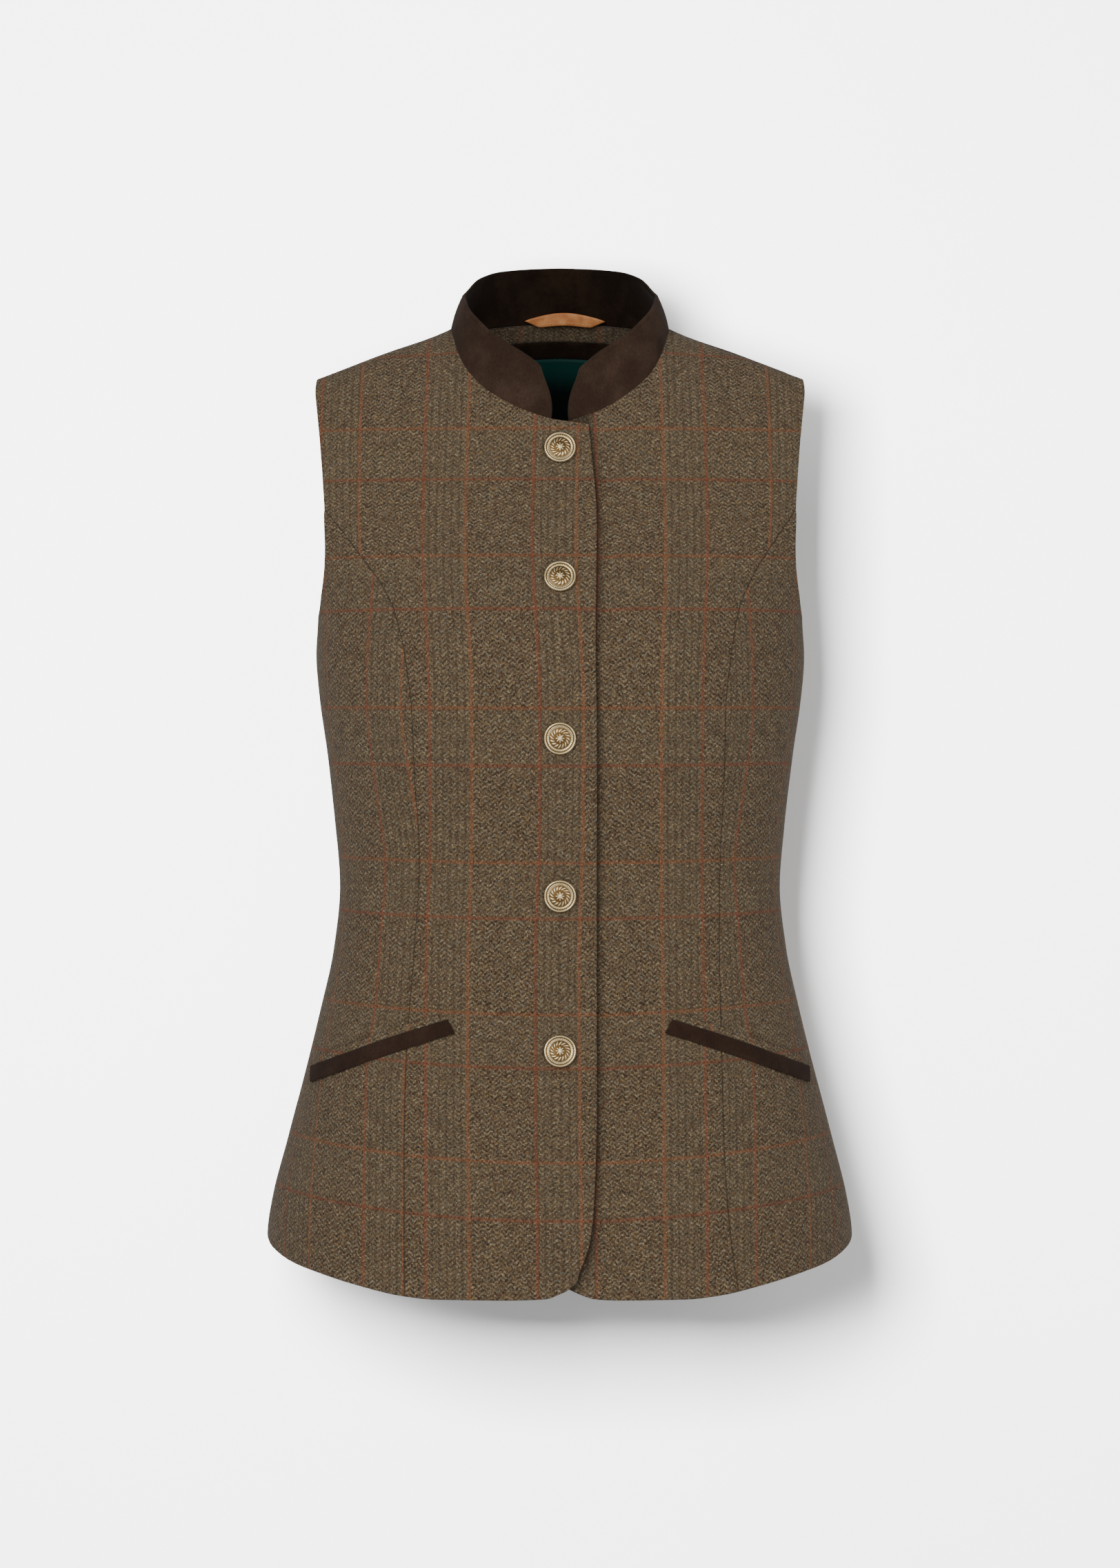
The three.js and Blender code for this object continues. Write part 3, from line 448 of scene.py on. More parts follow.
class Layout:
    """Where each spot of the cloth lies on the flat cloth, in millimetres of warp and weft."""

    TURNS = 72
    LEVEL_STEP = 10
    LOWEST = -700
    SHOULDER_LEVEL = -100

    def __init__(self):
        self.rows = {}
        downs = []
        for i in range(len(WEFT_LINE_LEVELS)):
            downs.append(CHECK_REPEAT_DOWN * (i // 2) + CHECK_PAIR_DOWN * (i % 2))
        self.down_at = curve(WEFT_LINE_LEVELS, downs)
        self.rise_at = curve(SIDE_RISE_LEVELS, SIDE_RISE)

    def _row(self, index):
        if index not in self.rows:
            level = self.LOWEST + index * self.LEVEL_STEP
            points = [surface(math.pi * i / self.TURNS, level) for i in range(self.TURNS + 1)]
            self.rows[index] = lengths_along(points)
        return self.rows[index]

    def around(self, turn, level):
        """Length round the body from the centre front."""
        place = (min(level, self.SHOULDER_LEVEL) - self.LOWEST) / self.LEVEL_STEP
        index = int(place)
        across = abs(turn) / math.pi * self.TURNS
        column = min(self.TURNS - 1, int(across))
        share = across - column
        here, above = self._row(index), self._row(index + 1)
        a = mix(here[column], here[column + 1], share)
        b = mix(above[column], above[column + 1], share)
        return math.copysign(mix(a, b, place - index), turn)

    def down(self, turn, level):
        """Length down the cloth, which follows the surface where it turns over the shoulder."""
        across = abs(surface(turn, level).x)
        lift = self.rise_at(level) if level < SIDE_RISE_LEVELS[0] else 0.0
        start = WEFT_LINE_LEVELS[0]
        if level <= start:
            return self.down_at(level - lift * (across / SIDE_RISE_ACROSS) ** 2)
        steps = 8
        points = [surface(turn, mix(start, level, i / steps)) for i in range(steps + 1)]
        return -sum((b - a).length for a, b in zip(points, points[1:]))


layout = Layout()


def grain_line(name):
    grain = GRAIN[name]
    across_at = curve(grain["level"], grain["across"])
    on_side = on_back if name == "back" else on_front

    def at(turn, level):
        held_level = max(FIGURE_LEVEL[-1], level)
        reference, _ = on_side(across_at(held_level), held_level)
        away = layout.around(turn, level) - layout.around(reference, level)
        if name == "back":
            away = -away
        return grain["yarn"] + away, layout.down(turn, level)

    return at


def spread(count, fine):
    """Places along a grid: even inside, fine to each column, and close together at both ends."""
    inside = [i / fine for i in range(1, count * fine)]
    inside = [x for x in inside if END_STEPS[-1] + 0.05 < x < count - END_STEPS[-1] - 0.05]
    return [0, *END_STEPS, *inside, *(count - x for x in reversed(END_STEPS)), count]


def sample(place, columns, rows, side, outward):
    """Points, normals and places of a grid. outward is 1 or -1 for the way that its own normals turn."""
    grid = []
    for r in rows:
        line = []
        for c in columns:
            point, spot = place(c, r)
            dc = STEP if c < columns[-1] else -STEP
            dr = STEP if r < rows[-1] else -STEP
            along = (place(c + dc, r)[0] - point) * dc
            down = (place(c, r + dr)[0] - point) * dr
            normal = along.cross(down).normalized() * outward * -side
            line.append({"p": point, "n": normal, "at": spot, "c": c, "r": r})
        grid.append(line)
    return grid


def edge_lengths(grid):
    """Distance of each grid point from the inner, outer, top and bottom edges."""
    rows, columns = len(grid), len(grid[0])
    for row in grid:
        total = 0.0
        row[0]["inner"] = 0.0
        for a, b in zip(row, row[1:]):
            total += (b["p"] - a["p"]).length
            b["inner"] = total
        for cell in row:
            cell["outer"] = total - cell["inner"]
    for j in range(columns):
        total = 0.0
        grid[0][j]["top"] = 0.0
        for i in range(1, rows):
            total += (grid[i][j]["p"] - grid[i - 1][j]["p"]).length
            grid[i][j]["top"] = total
        for i in range(rows):
            grid[i][j]["bottom"] = total - grid[i][j]["top"]


def rolled(distance, radius):
    """How far a face falls back towards a turned edge."""
    if distance >= radius:
        return 0.0
    return radius * 0.93 * (1 - math.sqrt(1 - (1 - distance / radius) ** 2))


def shell_faces(rows, columns, flip):
    count = rows * columns

    def at(i, j):
        return i * columns + j

    outer, inner, rim = [], [], []
    for i in range(rows - 1):
        for j in range(columns - 1):
            quad = (at(i, j), at(i + 1, j), at(i + 1, j + 1), at(i, j + 1))
            outer.append(quad)
            inner.append(tuple(reversed([k + count for k in quad])))
    around = [(at(0, j), at(0, j + 1)) for j in range(columns - 1)]
    around += [(at(i, columns - 1), at(i + 1, columns - 1)) for i in range(rows - 1)]
    around += [(at(rows - 1, j), at(rows - 1, j - 1)) for j in range(columns - 1, 0, -1)]
    around += [(at(i, 0), at(i - 1, 0)) for i in range(rows - 1, 0, -1)]
    for a, b in around:
        rim.append((a, b, b + count, a + count))
    if flip:
        outer, inner, rim = ([tuple(reversed(f)) for f in part] for part in (outer, inner, rim))
    return outer, inner, rim


def link(thing):
    bpy.context.scene.collection.objects.link(thing)
    return thing


def make_object(name, points, faces, materials, slots=None, uvs=None):
    """A mesh in metres from points in millimetres."""
    mesh = bpy.data.meshes.new(name)
    mesh.from_pydata([p * MM for p in points], [], faces)
    for material in materials:
        mesh.materials.append(material)
    if slots:
        mesh.polygons.foreach_set("material_index", slots)
    if uvs:
        layer = mesh.uv_layers.new(name="UVMap")
        flat = []
        for loop in mesh.loops:
            flat.extend(uvs[loop.vertex_index])
        layer.data.foreach_set("uv", flat)
    mesh.polygons.foreach_set("use_smooth", [True] * len(mesh.polygons))
    mesh.update()
    return link(bpy.data.objects.new(name, mesh))


def store(piece, name, values):
    """One value for each point of a piece, for its material to read."""
    layer = piece.data.attributes.new(name, "FLOAT", "POINT")
    layer.data.foreach_set("value", values)


def grid_spot(point, normal, u, v):
    """One spot of a small piece's grid, with its place on the flat cloth in millimetres."""
    return {"p": point, "n": normal, "uv": (u * MM, v * MM)}


def shell(name, grid, thickness, free, seams, materials, lift=0.0, dip=0.8, dip_width=0.7, waves=True,
          shaded=lambda cell: 0.0):
    """A closed thin piece of cloth over a grid, with turned free edges and pressed seams.

    free and seams are functions of a grid cell that give its distance from the nearest edge of that kind.
    shaded gives the least painted shade, for cloth that lies deep inside or just under another edge; the
    cloth is also darkened as painted shade in its pressed seams.
    """
    rows, columns = len(grid), len(grid[0])
    radius = thickness / 2
    outer, inner, uvs, painted_shades = [], [], [], []
    for row in grid:
        for cell in row:
            roll = rolled(free(cell), radius)
            wave = ripple(cell["p"]) if waves else 0.0
            near_seam = seams(cell)
            press = dip * math.exp(-(near_seam / dip_width) ** 2)
            outer.append(cell["p"] + cell["n"] * (lift + wave - max(roll, press)))
            inner.append(cell["p"] + cell["n"] * (lift + wave - thickness + roll))
            uvs.append(cell["uv"])
            # Painted shade: dark in a pressed seam, and never lighter than shaded gives
            painted_shades.append(max(shaded(cell), 1 - near_seam / SEAM_SHADE_WIDTH))
    a = grid[0][0]["p"]
    turned = (grid[1][0]["p"] - a).cross(grid[1][1]["p"] - a)
    flip = turned.dot(grid[0][0]["n"]) < 0
    faces_out, faces_in, faces_rim = shell_faces(rows, columns, flip)
    slots = [0] * len(faces_out) + [len(materials) - 1] * len(faces_in) + [0] * len(faces_rim)
    piece = make_object(name, [*outer, *inner], [*faces_out, *faces_in, *faces_rim], materials, slots,
                        [*uvs, *uvs])
    store(piece, "crease", [*painted_shades, *painted_shades])
    return piece


def ripple(point):
    """Soft unevenness of pressed wool, mostly under half a millimetre."""
    slow = noise.noise(Vector((point.x * 0.013, point.y * 0.013, point.z * 0.009)))
    quick = noise.noise(Vector((point.x * 0.035, point.y * 0.035, point.z * 0.03)) + Vector((7, 3, 5)))
    return SLOW_RIPPLE * slow + QUICK_RIPPLE * quick


def lay_out(grid, uv_of):
    for row in grid:
        for cell in row:
            u, v = uv_of(*cell["at"])
            cell["uv"] = (u * MM, -v * MM)


def placing(edges, columns, share_of, side):
    """A function that gives a panel's outer face at any column and row, with its turn and level."""
    def place(c, r):
        spot = patch(edges, c / columns, share_of(r))
        point = surface(*spot)
        point.x *= side
        return point, spot

    return place


def panel(edges, columns, rows, share_of, side, outward, grain, set_back=None):
    place = placing(edges, columns, share_of, side)
    grid = sample(place, spread(columns, 3), spread(rows, 4), side, outward)
    if set_back:
        for row in grid:
            for cell in row:
                cell["p"] = cell["p"] - cell["n"] * set_back(cell["p"].x * side)
    edge_lengths(grid)
    lay_out(grid, grain_line(grain))
    return grid


def front_share(row):
    return row_share(row, SHOULDER_ROWS, FRONT_TOP_SHARE)


def back_share(row):
    return row_share(row, BACK_ARM_ROWS, BACK_TOP_SHARE)


def side_share(row):
    return row / BODY_ROWS


def set_back_left(across):
    return LAP_DEPTH * (1 - smoothstep(across, LAP_START, LAP_END))


# Materials


def srgb(red, green, blue):
    def linear(value):
        c = value / 255
        return c / 12.92 if c <= 0.04045 else ((c + 0.055) / 1.055) ** 2.4

    return linear(red), linear(green), linear(blue), 1.0


class Nodes:
    """Short words for building a material's nodes."""

    def __init__(self, name):
        self.material = bpy.data.materials.new(name)
        self.material.use_nodes = True
        self.tree = self.material.node_tree
        self.shader = self.tree.nodes["Principled BSDF"]

    def add(self, kind, **settings):
        node = self.tree.nodes.new(kind)
        for key, value in settings.items():
            setattr(node, key, value)
        return node

    def feed(self, socket, value):
        if isinstance(value, bpy.types.NodeSocket):
            self.tree.links.new(value, socket)
        elif value is not None:
            socket.default_value = value

    def math(self, operation, a, b=None, clamp=False):
        node = self.add("ShaderNodeMath", operation=operation, use_clamp=clamp)
        for socket, value in zip(node.inputs, (a, b)):
            self.feed(socket, value)
        return node.outputs[0]

    def plus(self, a, b, clamp=False):
        return self.math("ADD", a, b, clamp)

    def minus(self, a, b):
        return self.math("SUBTRACT", a, b)

    def times(self, a, b):
        return self.math("MULTIPLY", a, b)

    def zigzag(self, value, height):
        return self.math("PINGPONG", value, height)

    def whole(self, value):
        return self.math("FLOOR", value)

    def mix(self, share, a, b, blend="MIX"):
        node = self.add("ShaderNodeMix", data_type="RGBA", blend_type=blend)
        self.feed(node.inputs["Factor"], share)
        self.feed(node.inputs[6], a)
        self.feed(node.inputs[7], b)
        return node.outputs[2]

    def range(self, value, low, high, to_low=0.0, to_high=1.0, smooth=True):
        node = self.add("ShaderNodeMapRange", interpolation_type="SMOOTHSTEP" if smooth else "LINEAR")
        for socket, number in zip(node.inputs, (value, low, high, to_low, to_high)):
            self.feed(socket, number)
        return node.outputs[0]

    def noise(self, vector, scale, detail=2.0, roughness=0.5):
        node = self.add("ShaderNodeTexNoise")
        self.feed(node.inputs["Vector"], vector)
        node.inputs["Scale"].default_value = scale
        node.inputs["Detail"].default_value = detail
        node.inputs["Roughness"].default_value = roughness
        return node.outputs["Fac"]

    def combine(self, x, y, z=0.0):
        node = self.add("ShaderNodeCombineXYZ")
        for socket, value in zip(node.inputs, (x, y, z)):
            self.feed(socket, value)
        return node.outputs[0]

    def random(self, value, seed):
        node = self.add("ShaderNodeTexWhiteNoise", noise_dimensions="2D")
        self.feed(node.inputs["Vector"], self.combine(value, seed))
        return node.outputs["Value"]

    def millimetres(self, coordinates):
        scaled = self.add("ShaderNodeVectorMath", operation="SCALE")
        self.feed(scaled.inputs[0], self.add("ShaderNodeTexCoord").outputs[coordinates])
        scaled.inputs["Scale"].default_value = 1 / MM
        return scaled.outputs[0]

    def parts(self, vector):
        node = self.add("ShaderNodeSeparateXYZ")
        self.feed(node.inputs[0], vector)
        return node.outputs

    def uv_millimetres(self):
        vector = self.millimetres("UV")
        across, down, _ = self.parts(vector)
        return vector, across, down

    def object_millimetres(self):
        return self.millimetres("Object")

    def bump(self, height, depth, strength=1.0):
        node = self.add("ShaderNodeBump")
        node.inputs["Strength"].default_value = strength
        node.inputs["Distance"].default_value = depth * MM
        self.feed(node.inputs["Height"], height)
        self.feed(self.shader.inputs["Normal"], node.outputs[0])

    def finish(self, colour, roughness, metallic=0.0, sheen=0.0, sheen_roughness=0.5, specular=0.5):
        self.feed(self.shader.inputs["Base Color"], colour)
        self.feed(self.shader.inputs["Roughness"], roughness)
        self.shader.inputs["Metallic"].default_value = metallic
        self.shader.inputs["Sheen Weight"].default_value = sheen
        self.shader.inputs["Sheen Roughness"].default_value = sheen_roughness
        self.shader.inputs["Specular IOR Level"].default_value = specular
        return self.material


def line_mask(n, value, repeat, offset, half_width):
    """1 on a thin line that comes back every repeat, in millimetres."""
    shifted = n.plus(value, repeat * 0.5 - offset)
    wrapped = n.minus(n.math("FLOORED_MODULO", shifted, repeat), repeat * 0.5)
    return n.range(n.math("ABSOLUTE", wrapped), half_width * 1.35, half_width * 0.65)


def band_mask(n, value, repeat, width):
    """1 on a band that starts every repeat."""
    return n.math("LESS_THAN", n.math("FLOORED_MODULO", value, repeat), width)


def grey(n, value):
    tint = n.add("ShaderNodeCombineColor")
    for socket in tint.inputs[:3]:
        n.feed(socket, value)
    return tint.outputs[0]


def tweed():
    n = Nodes("tweed")
    vector, across, down = n.uv_millimetres()
    down = n.times(down, -1.0)
    sway = n.times(n.minus(n.noise(vector, 0.05, 2.0), 0.5), 3.0)
    sag = n.times(n.minus(n.noise(vector, 0.07, 2.0), 0.5), 3.0)
    hairy = n.times(n.minus(n.noise(vector, 0.9, 3.0, 0.7), 0.5), 2.4)

    # Herringbone: a two-and-two twill that turns back after every four ends
    ends = n.plus(n.times(n.plus(across, sway), 1 / END_PITCH), hairy)
    picks = n.plus(n.times(n.plus(down, sag), 1 / PICK_PITCH), hairy)
    end_number, pick_number = n.whole(ends), n.whole(picks)
    leg = n.whole(n.zigzag(n.plus(end_number, 0.5), TWILL_ENDS))
    twill = n.math("FLOORED_MODULO", n.plus(pick_number, leg), TWILL_ENDS)
    weft_up = n.math("LESS_THAN", twill, TWILL_ENDS / 2 - 0.5)

    # Each float of yarn is round, with its own shade and, now and then, its own colour; painted shade darkens
    # each float towards its edges, between the yarns
    weft_round = n.zigzag(n.times(picks, 2.0), 1.0)
    warp_round = n.zigzag(n.times(ends, 2.0), 1.0)
    pair_number = n.whole(n.times(ends, 0.5))
    own_shade = n.random(pair_number, pick_number)
    own_colour = n.random(pick_number, n.plus(pair_number, 57.0))
    own_light = n.range(n.random(n.plus(end_number, 91.0), pick_number), 0.0, 1.0, 0.25, 1.0, smooth=False)
    below = n.random(n.plus(end_number, 23.0), n.whole(n.times(picks, 0.5)))
    blot = n.noise(vector, 0.16, 3.0, 0.6)
    fuzz = n.noise(vector, 0.95, 3.0, 0.72)

    dark = n.mix(below, srgb(60, 45, 33), srgb(118, 97, 72))
    light = n.mix(own_shade, srgb(98, 84, 62), srgb(166, 152, 120))
    light = n.mix(n.range(own_colour, 0.7, 0.74), light, srgb(122, 126, 112))
    light = n.mix(n.range(own_colour, 0.86, 0.88), light, srgb(108, 72, 54))
    light = n.mix(n.range(own_colour, 0.94, 0.95), light, srgb(142, 118, 68))
    # Painted shade at the edges of each float
    dark = n.mix(n.range(warp_round, 0.0, 0.8, 0.4, 0.0), dark, srgb(48, 34, 26))
    light = n.mix(n.range(weft_round, 0.0, 0.8, 0.4, 0.0), light, srgb(66, 49, 37))
    base = n.mix(n.times(weft_up, own_light), dark, light)

    # Between the two yarns of each over-check pair the cloth is a little paler, with dark lines in it
    for value, repeat, pair, pale, deep in ((across, CHECK_REPEAT_ACROSS, CHECK_PAIR_ACROSS, 0.1, 0.34),
                                            (down, CHECK_REPEAT_DOWN, CHECK_PAIR_DOWN, 0.06, 0.12)):
        inside = band_mask(n, value, repeat, pair)
        base = n.mix(n.times(inside, pale), base, srgb(126, 116, 92))
        gap = n.range(n.zigzag(n.plus(value, 0.6), STRIPE_HALF), 1.3, 0.3)
        base = n.mix(n.times(n.times(inside, gap), deep), base, srgb(66, 49, 36))

    # The over-check yarns themselves: orange and rust, strongest where they lie on top
    warp_up = n.minus(1.0, weft_up)
    lines = (
        (down, CHECK_REPEAT_DOWN, 0.0, srgb(142, 84, 52), 1.15, weft_up, 0.23, 0.32),
        (down, CHECK_REPEAT_DOWN, CHECK_PAIR_DOWN, srgb(132, 68, 46), 1.15, weft_up, 0.23, 0.34),
        (across, CHECK_REPEAT_ACROSS, 0.0, srgb(142, 84, 52), 1.1, warp_up, 0.28, 0.34),
        (across, CHECK_REPEAT_ACROSS, CHECK_PAIR_ACROSS, srgb(132, 68, 46), 1.1, warp_up, 0.3, 0.38),
    )
    for value, repeat, offset, colour, width, shows, least, more in lines:
        mask = line_mask(n, value, repeat, offset, width)
        strength = n.plus(n.times(shows, more), least)
        strength = n.times(strength, n.range(fuzz, 0.3, 0.62, 0.62, 1.1))
        base = n.mix(n.times(mask, strength), base, colour)

    shade = n.range(fuzz, 0.3, 0.7, 0.28, 1.54, smooth=False)
    shade = n.times(shade, n.range(blot, 0.3, 0.7, 0.88, 1.12))
    colour = n.mix(1.0, base, grey(n, shade), "MULTIPLY")

    # Painted shade: a thin dark line in each pressed seam, a shadow past the edge that laps over the left
    # front, a line at each pocket's mouth and shade over the strip inside the neck
    crease = n.add("ShaderNodeAttribute", attribute_name="crease").outputs["Fac"]
    colour = n.mix(n.times(crease, 0.6), colour, srgb(30, 21, 15))
    rounded = n.plus(n.times(weft_up, weft_round),
                     n.times(n.times(warp_up, warp_round), 0.7))
    n.bump(n.plus(n.times(rounded, 0.45), n.times(fuzz, 0.6)), 0.3, 0.7)
    return n.finish(colour, 0.92, sheen=0.08, sheen_roughness=0.6, specular=0.15)


def suede(name, deep, raised):
    n = Nodes(name)
    vector = n.object_millimetres()
    brush = n.add("ShaderNodeMapping")
    n.feed(brush.inputs["Vector"], vector)
    brush.inputs["Scale"].default_value = (1.0, 1.0, 0.45)
    cloud = n.noise(vector, 0.04, 4.0, 0.6)
    nap = n.noise(brush.outputs[0], 0.9, 3.0, 0.7)
    pile = n.noise(vector, 3.2, 2.0, 0.6)
    colour = n.mix(n.range(cloud, 0.36, 0.68), deep, raised)
    flat = n.range(nap, 0.3, 0.75, 1.12, 0.82)
    colour = n.mix(1.0, colour, grey(n, flat), "MULTIPLY")
    n.bump(n.plus(n.times(nap, 0.6), n.times(pile, 0.5)), 0.22, 0.6)
    return n.finish(colour, 0.95, sheen=0.06, sheen_roughness=0.5, specular=0.06)


def ribs(n, across, down, rib_scale, weave_scale):
    """Fine ribs across a satin, crossed by finer ones."""
    rib = n.zigzag(n.times(across, rib_scale), 1.0)
    weave = n.zigzag(n.times(down, weave_scale), 1.0)
    return n.plus(rib, n.times(weave, 0.5))


def lining_satin():
    n = Nodes("lining")
    vector, across, down = n.uv_millimetres()
    cloud = n.noise(vector, 0.05, 2.0)
    colour = n.mix(n.range(cloud, 0.3, 0.7), srgb(24, 18, 14), srgb(36, 27, 22))
    n.bump(ribs(n, across, down, 2.2, 2.86), 0.08, 0.4)
    return n.finish(colour, 0.5, sheen=0.1, sheen_roughness=0.3, specular=0.3)


def label_satin():
    """Plain teal, darkened by painted shade lower down the back."""
    n = Nodes("label")
    vector, across, down = n.uv_millimetres()
    # Painted shade: the label darkens to near black between these levels
    level = n.parts(n.object_millimetres())[2]
    shaded = n.range(level, LABEL_TOP_LEVEL, LABEL_DARK_LEVEL)
    colour = n.mix(n.range(n.noise(vector, 0.05, 2.0), 0.3, 0.7, 0.0, 0.3), srgb(1, 56, 50), srgb(3, 44, 40))
    colour = n.mix(shaded, colour, srgb(3, 9, 9))
    n.bump(ribs(n, across, down, 1.6, 2.1), 0.06, 0.3)
    return n.finish(colour, 0.6, sheen=0.05, sheen_roughness=0.3, specular=0.15)


def tan_leather():
    n = Nodes("tan_leather")
    vector = n.object_millimetres()
    cloud = n.noise(vector, 0.12, 3.0)
    grain = n.add("ShaderNodeTexVoronoi")
    n.feed(grain.inputs["Vector"], vector)
    grain.inputs["Scale"].default_value = 1.6
    colour = n.mix(n.range(cloud, 0.35, 0.7), srgb(176, 108, 58), srgb(206, 140, 84))
    n.bump(grain.outputs["Distance"], 0.08, 0.5)
    return n.finish(colour, 0.48, specular=0.4)


def antique_brass():
    n = Nodes("antique_brass")
    vector = n.object_millimetres()
    worn = n.add("ShaderNodeAttribute", attribute_name="worn").outputs["Fac"]
    tarnish = n.noise(vector, 0.8, 3.0)
    share = n.plus(worn, n.times(n.minus(tarnish, 0.5), 0.35), clamp=True)
    colour = n.mix(n.range(share, 0.1, 0.9), srgb(112, 83, 46), srgb(255, 236, 188))
    rough = n.range(share, 0.0, 1.0, 0.46, 0.24)
    n.bump(n.noise(vector, 2.4, 2.0), 0.03, 0.4)
    return n.finish(colour, rough, metallic=0.95)


def thread(name, colour):
    n = Nodes(name)
    vector = n.object_millimetres()
    twist = n.noise(vector, 2.8, 2.0)
    shade = n.mix(n.range(twist, 0.3, 0.7, 0.0, 0.35), colour, srgb(20, 14, 10))
    n.bump(twist, 0.05, 0.5)
    return n.finish(shade, 0.7, sheen=0.2, specular=0.3)


TWEED = tweed()
SUEDE = suede("suede", srgb(54, 40, 31), srgb(68, 52, 42))
SUEDE_POCKET = suede("suede_pocket", srgb(48, 34, 27), srgb(58, 43, 34))
# Painted shade: a darker copy of the suede for the collar's inside face and the band inside the neck
SUEDE_INSIDE_SHADE = suede("suede_inside", srgb(26, 17, 11), srgb(40, 28, 19))
LINING = lining_satin()
LABEL = label_satin()
LEATHER = tan_leather()
BRASS = antique_brass()
PALE_THREAD = thread("pale_thread", srgb(222, 176, 120))
DARK_THREAD = thread("dark_thread", srgb(46, 34, 26))
COLLAR_THREAD = thread("collar_thread", srgb(62, 46, 36))
LABEL_THREAD = thread("label_thread", srgb(6, 30, 27))


# Cloth panels


def fronts():
    pieces = {}
    lap_edge_at = curve(FREE_EDGE_LEVEL, FREE_EDGE_ACROSS["right"])
    for name, side in (("right", -1), ("left", 1)):
        columns, rows = FRONT_COLUMNS, SHOULDER_ROWS + BODY_ROWS
        set_back = set_back_left if name == "left" else None
        grid = panel(front_centre_edges(name), columns, rows, front_share, side, 1, f"{name}_centre",
                     set_back)
        neck_end = len(FRONT_NECK_STEPS) - 1

        def free(cell):
            armhole = cell["outer"] if cell["r"] < SHOULDER_ROWS else FAR
            return min(cell["inner"], cell["bottom"], armhole)

        def seams(cell):
            princess = cell["outer"] if cell["r"] >= SHOULDER_ROWS else FAR
            return min(princess, cell["top"] if cell["c"] >= neck_end else FAR)

        def shaded(cell):
            """Painted shadow: the left front is darker just past the edge that laps over it."""
            past_lap = cell["p"].x * side + lap_edge_at(cell["p"].z)
            return LAP_SHADE * (1 - smoothstep(past_lap, 0, LAP_SHADE_WIDTH)) if name == "left" else 0.0

        pieces[f"front_{name}_centre"] = shell(
            f"{name}_front_panel", grid, WALL, free, seams, [TWEED, LINING], shaded=shaded)

        grid = panel(front_side_edges(name), SIDE_COLUMNS, BODY_ROWS, side_share, side, 1, "side")
        pieces[f"front_{name}_side"] = shell(
            f"{name}_side_panel", grid, WALL, lambda cell: min(cell["top"], cell["bottom"]),
            lambda cell: min(cell["inner"], cell["outer"]), [TWEED, LINING])
    return pieces


def backs():
    pieces = {}
    for name, side in (("right", -1), ("left", 1)):
        columns, rows = BACK_COLUMNS, BACK_ARM_ROWS + BODY_ROWS
        grid = panel(back_edges(), columns, rows, back_share, side, -1, "back")
        neck_end = len(BACK_NECK_STEPS) - 1

        def free(cell):
            armhole = cell["outer"] if cell["r"] < BACK_ARM_ROWS else FAR
            return min(cell["bottom"], armhole)

        def seams(cell):
            side_edge = cell["outer"] if cell["r"] >= BACK_ARM_ROWS else FAR
            shoulder = cell["top"] if cell["c"] >= neck_end else FAR
            return min(cell["inner"], side_edge, shoulder)

        pieces[f"back_{name}"] = shell(f"{name}_back_panel", grid, WALL, free, seams, [TWEED, LINING])
    return pieces


def coarse_spot(edges, columns, share_of, column, row, side, outward, set_back=None):
    """One corner point of the solids' own grid, with its normal."""
    place = placing(edges, columns, share_of, side)
    dc = STEP if column < columns else -STEP
    point, _ = place(column, row)
    along = (place(column + dc, row)[0] - point) * dc
    down = (place(column, row + STEP)[0] - point) * STEP
    normal = along.cross(down).normalized() * outward * -side
    if set_back:
        point = point - normal * set_back(point.x * side)
    return point, normal


def back_spot(edges, column, row, side):
    return coarse_spot(edges, BACK_COLUMNS, back_share, column, row, side, -1)


def neck_line():
    """The neck seam from the collar's right end, round the back, to its left end."""
    ends = {}
    for name, side in (("right", -1), ("left", 1)):
        edges = front_centre_edges(name)
        set_back = set_back_left if name == "left" else None
        ends[name] = [
            coarse_spot(edges, FRONT_COLUMNS, front_share, c, 0, side, 1, set_back)[0]
            for c in range(COLLAR_START, len(FRONT_NECK_STEPS))
        ]
    edges = back_edges()
    behind = {
        side: [back_spot(edges, c, 0, side)[0] for c in range(len(BACK_NECK_STEPS))]
        for side in (-1, 1)
    }
    return [*ends["right"], *reversed(behind[-1][:-1]), *behind[1][1:], *reversed(ends["left"][:-1])]


class NeckRun:
    """The neck seam as one smooth line, with the collar's way up and out at any length along it."""

    def __init__(self):
        line = neck_line()
        lengths = lengths_along(line)
        self.total = lengths[-1]
        self.axes = [curve(lengths, [p[k] for p in line]) for k in range(3)]
        self.height_at = curve(COLLAR_ROUND, COLLAR_HEIGHT)
        self.lean_at = curve(COLLAR_ROUND, COLLAR_LEAN)

    def point(self, length):
        return Vector(axis(length) for axis in self.axes)

    def frame(self, length):
        spread_by = 9
        point = self.point(length)
        before = self.point(max(0.0, length - spread_by))
        along = (self.point(min(self.total, length + spread_by)) - before).normalized()
        from_end = min(length, self.total - length)
        share = from_end / (self.total / 2)
        lean = math.radians(self.lean_at(share))
        inward = Vector((-point.x, NECK_AXIS_Y - point.y, 0)).normalized()
        rise = Vector((0, 0, math.cos(lean))) + inward * math.sin(lean)
        rise = (rise - along * rise.dot(along)).normalized()
        end = COLLAR_END_SLANT.copy()
        end.x *= math.copysign(1, point.x)
        rise = rise.lerp(end.normalized(), 1 - smoothstep(from_end, 0, COLLAR_END_BLEND)).normalized()
        out = along.cross(rise).normalized()
        if out.dot(inward) > 0:
            out.negate()
        gone = 1 - min(1.0, max(0.0, from_end) / CORNER_LENGTH)
        corner = mix(CORNER_LOW, 1, (1 - gone ** CORNER_POWER) ** (1 / CORNER_POWER))
        return point, rise, out, self.height_at(share) * corner


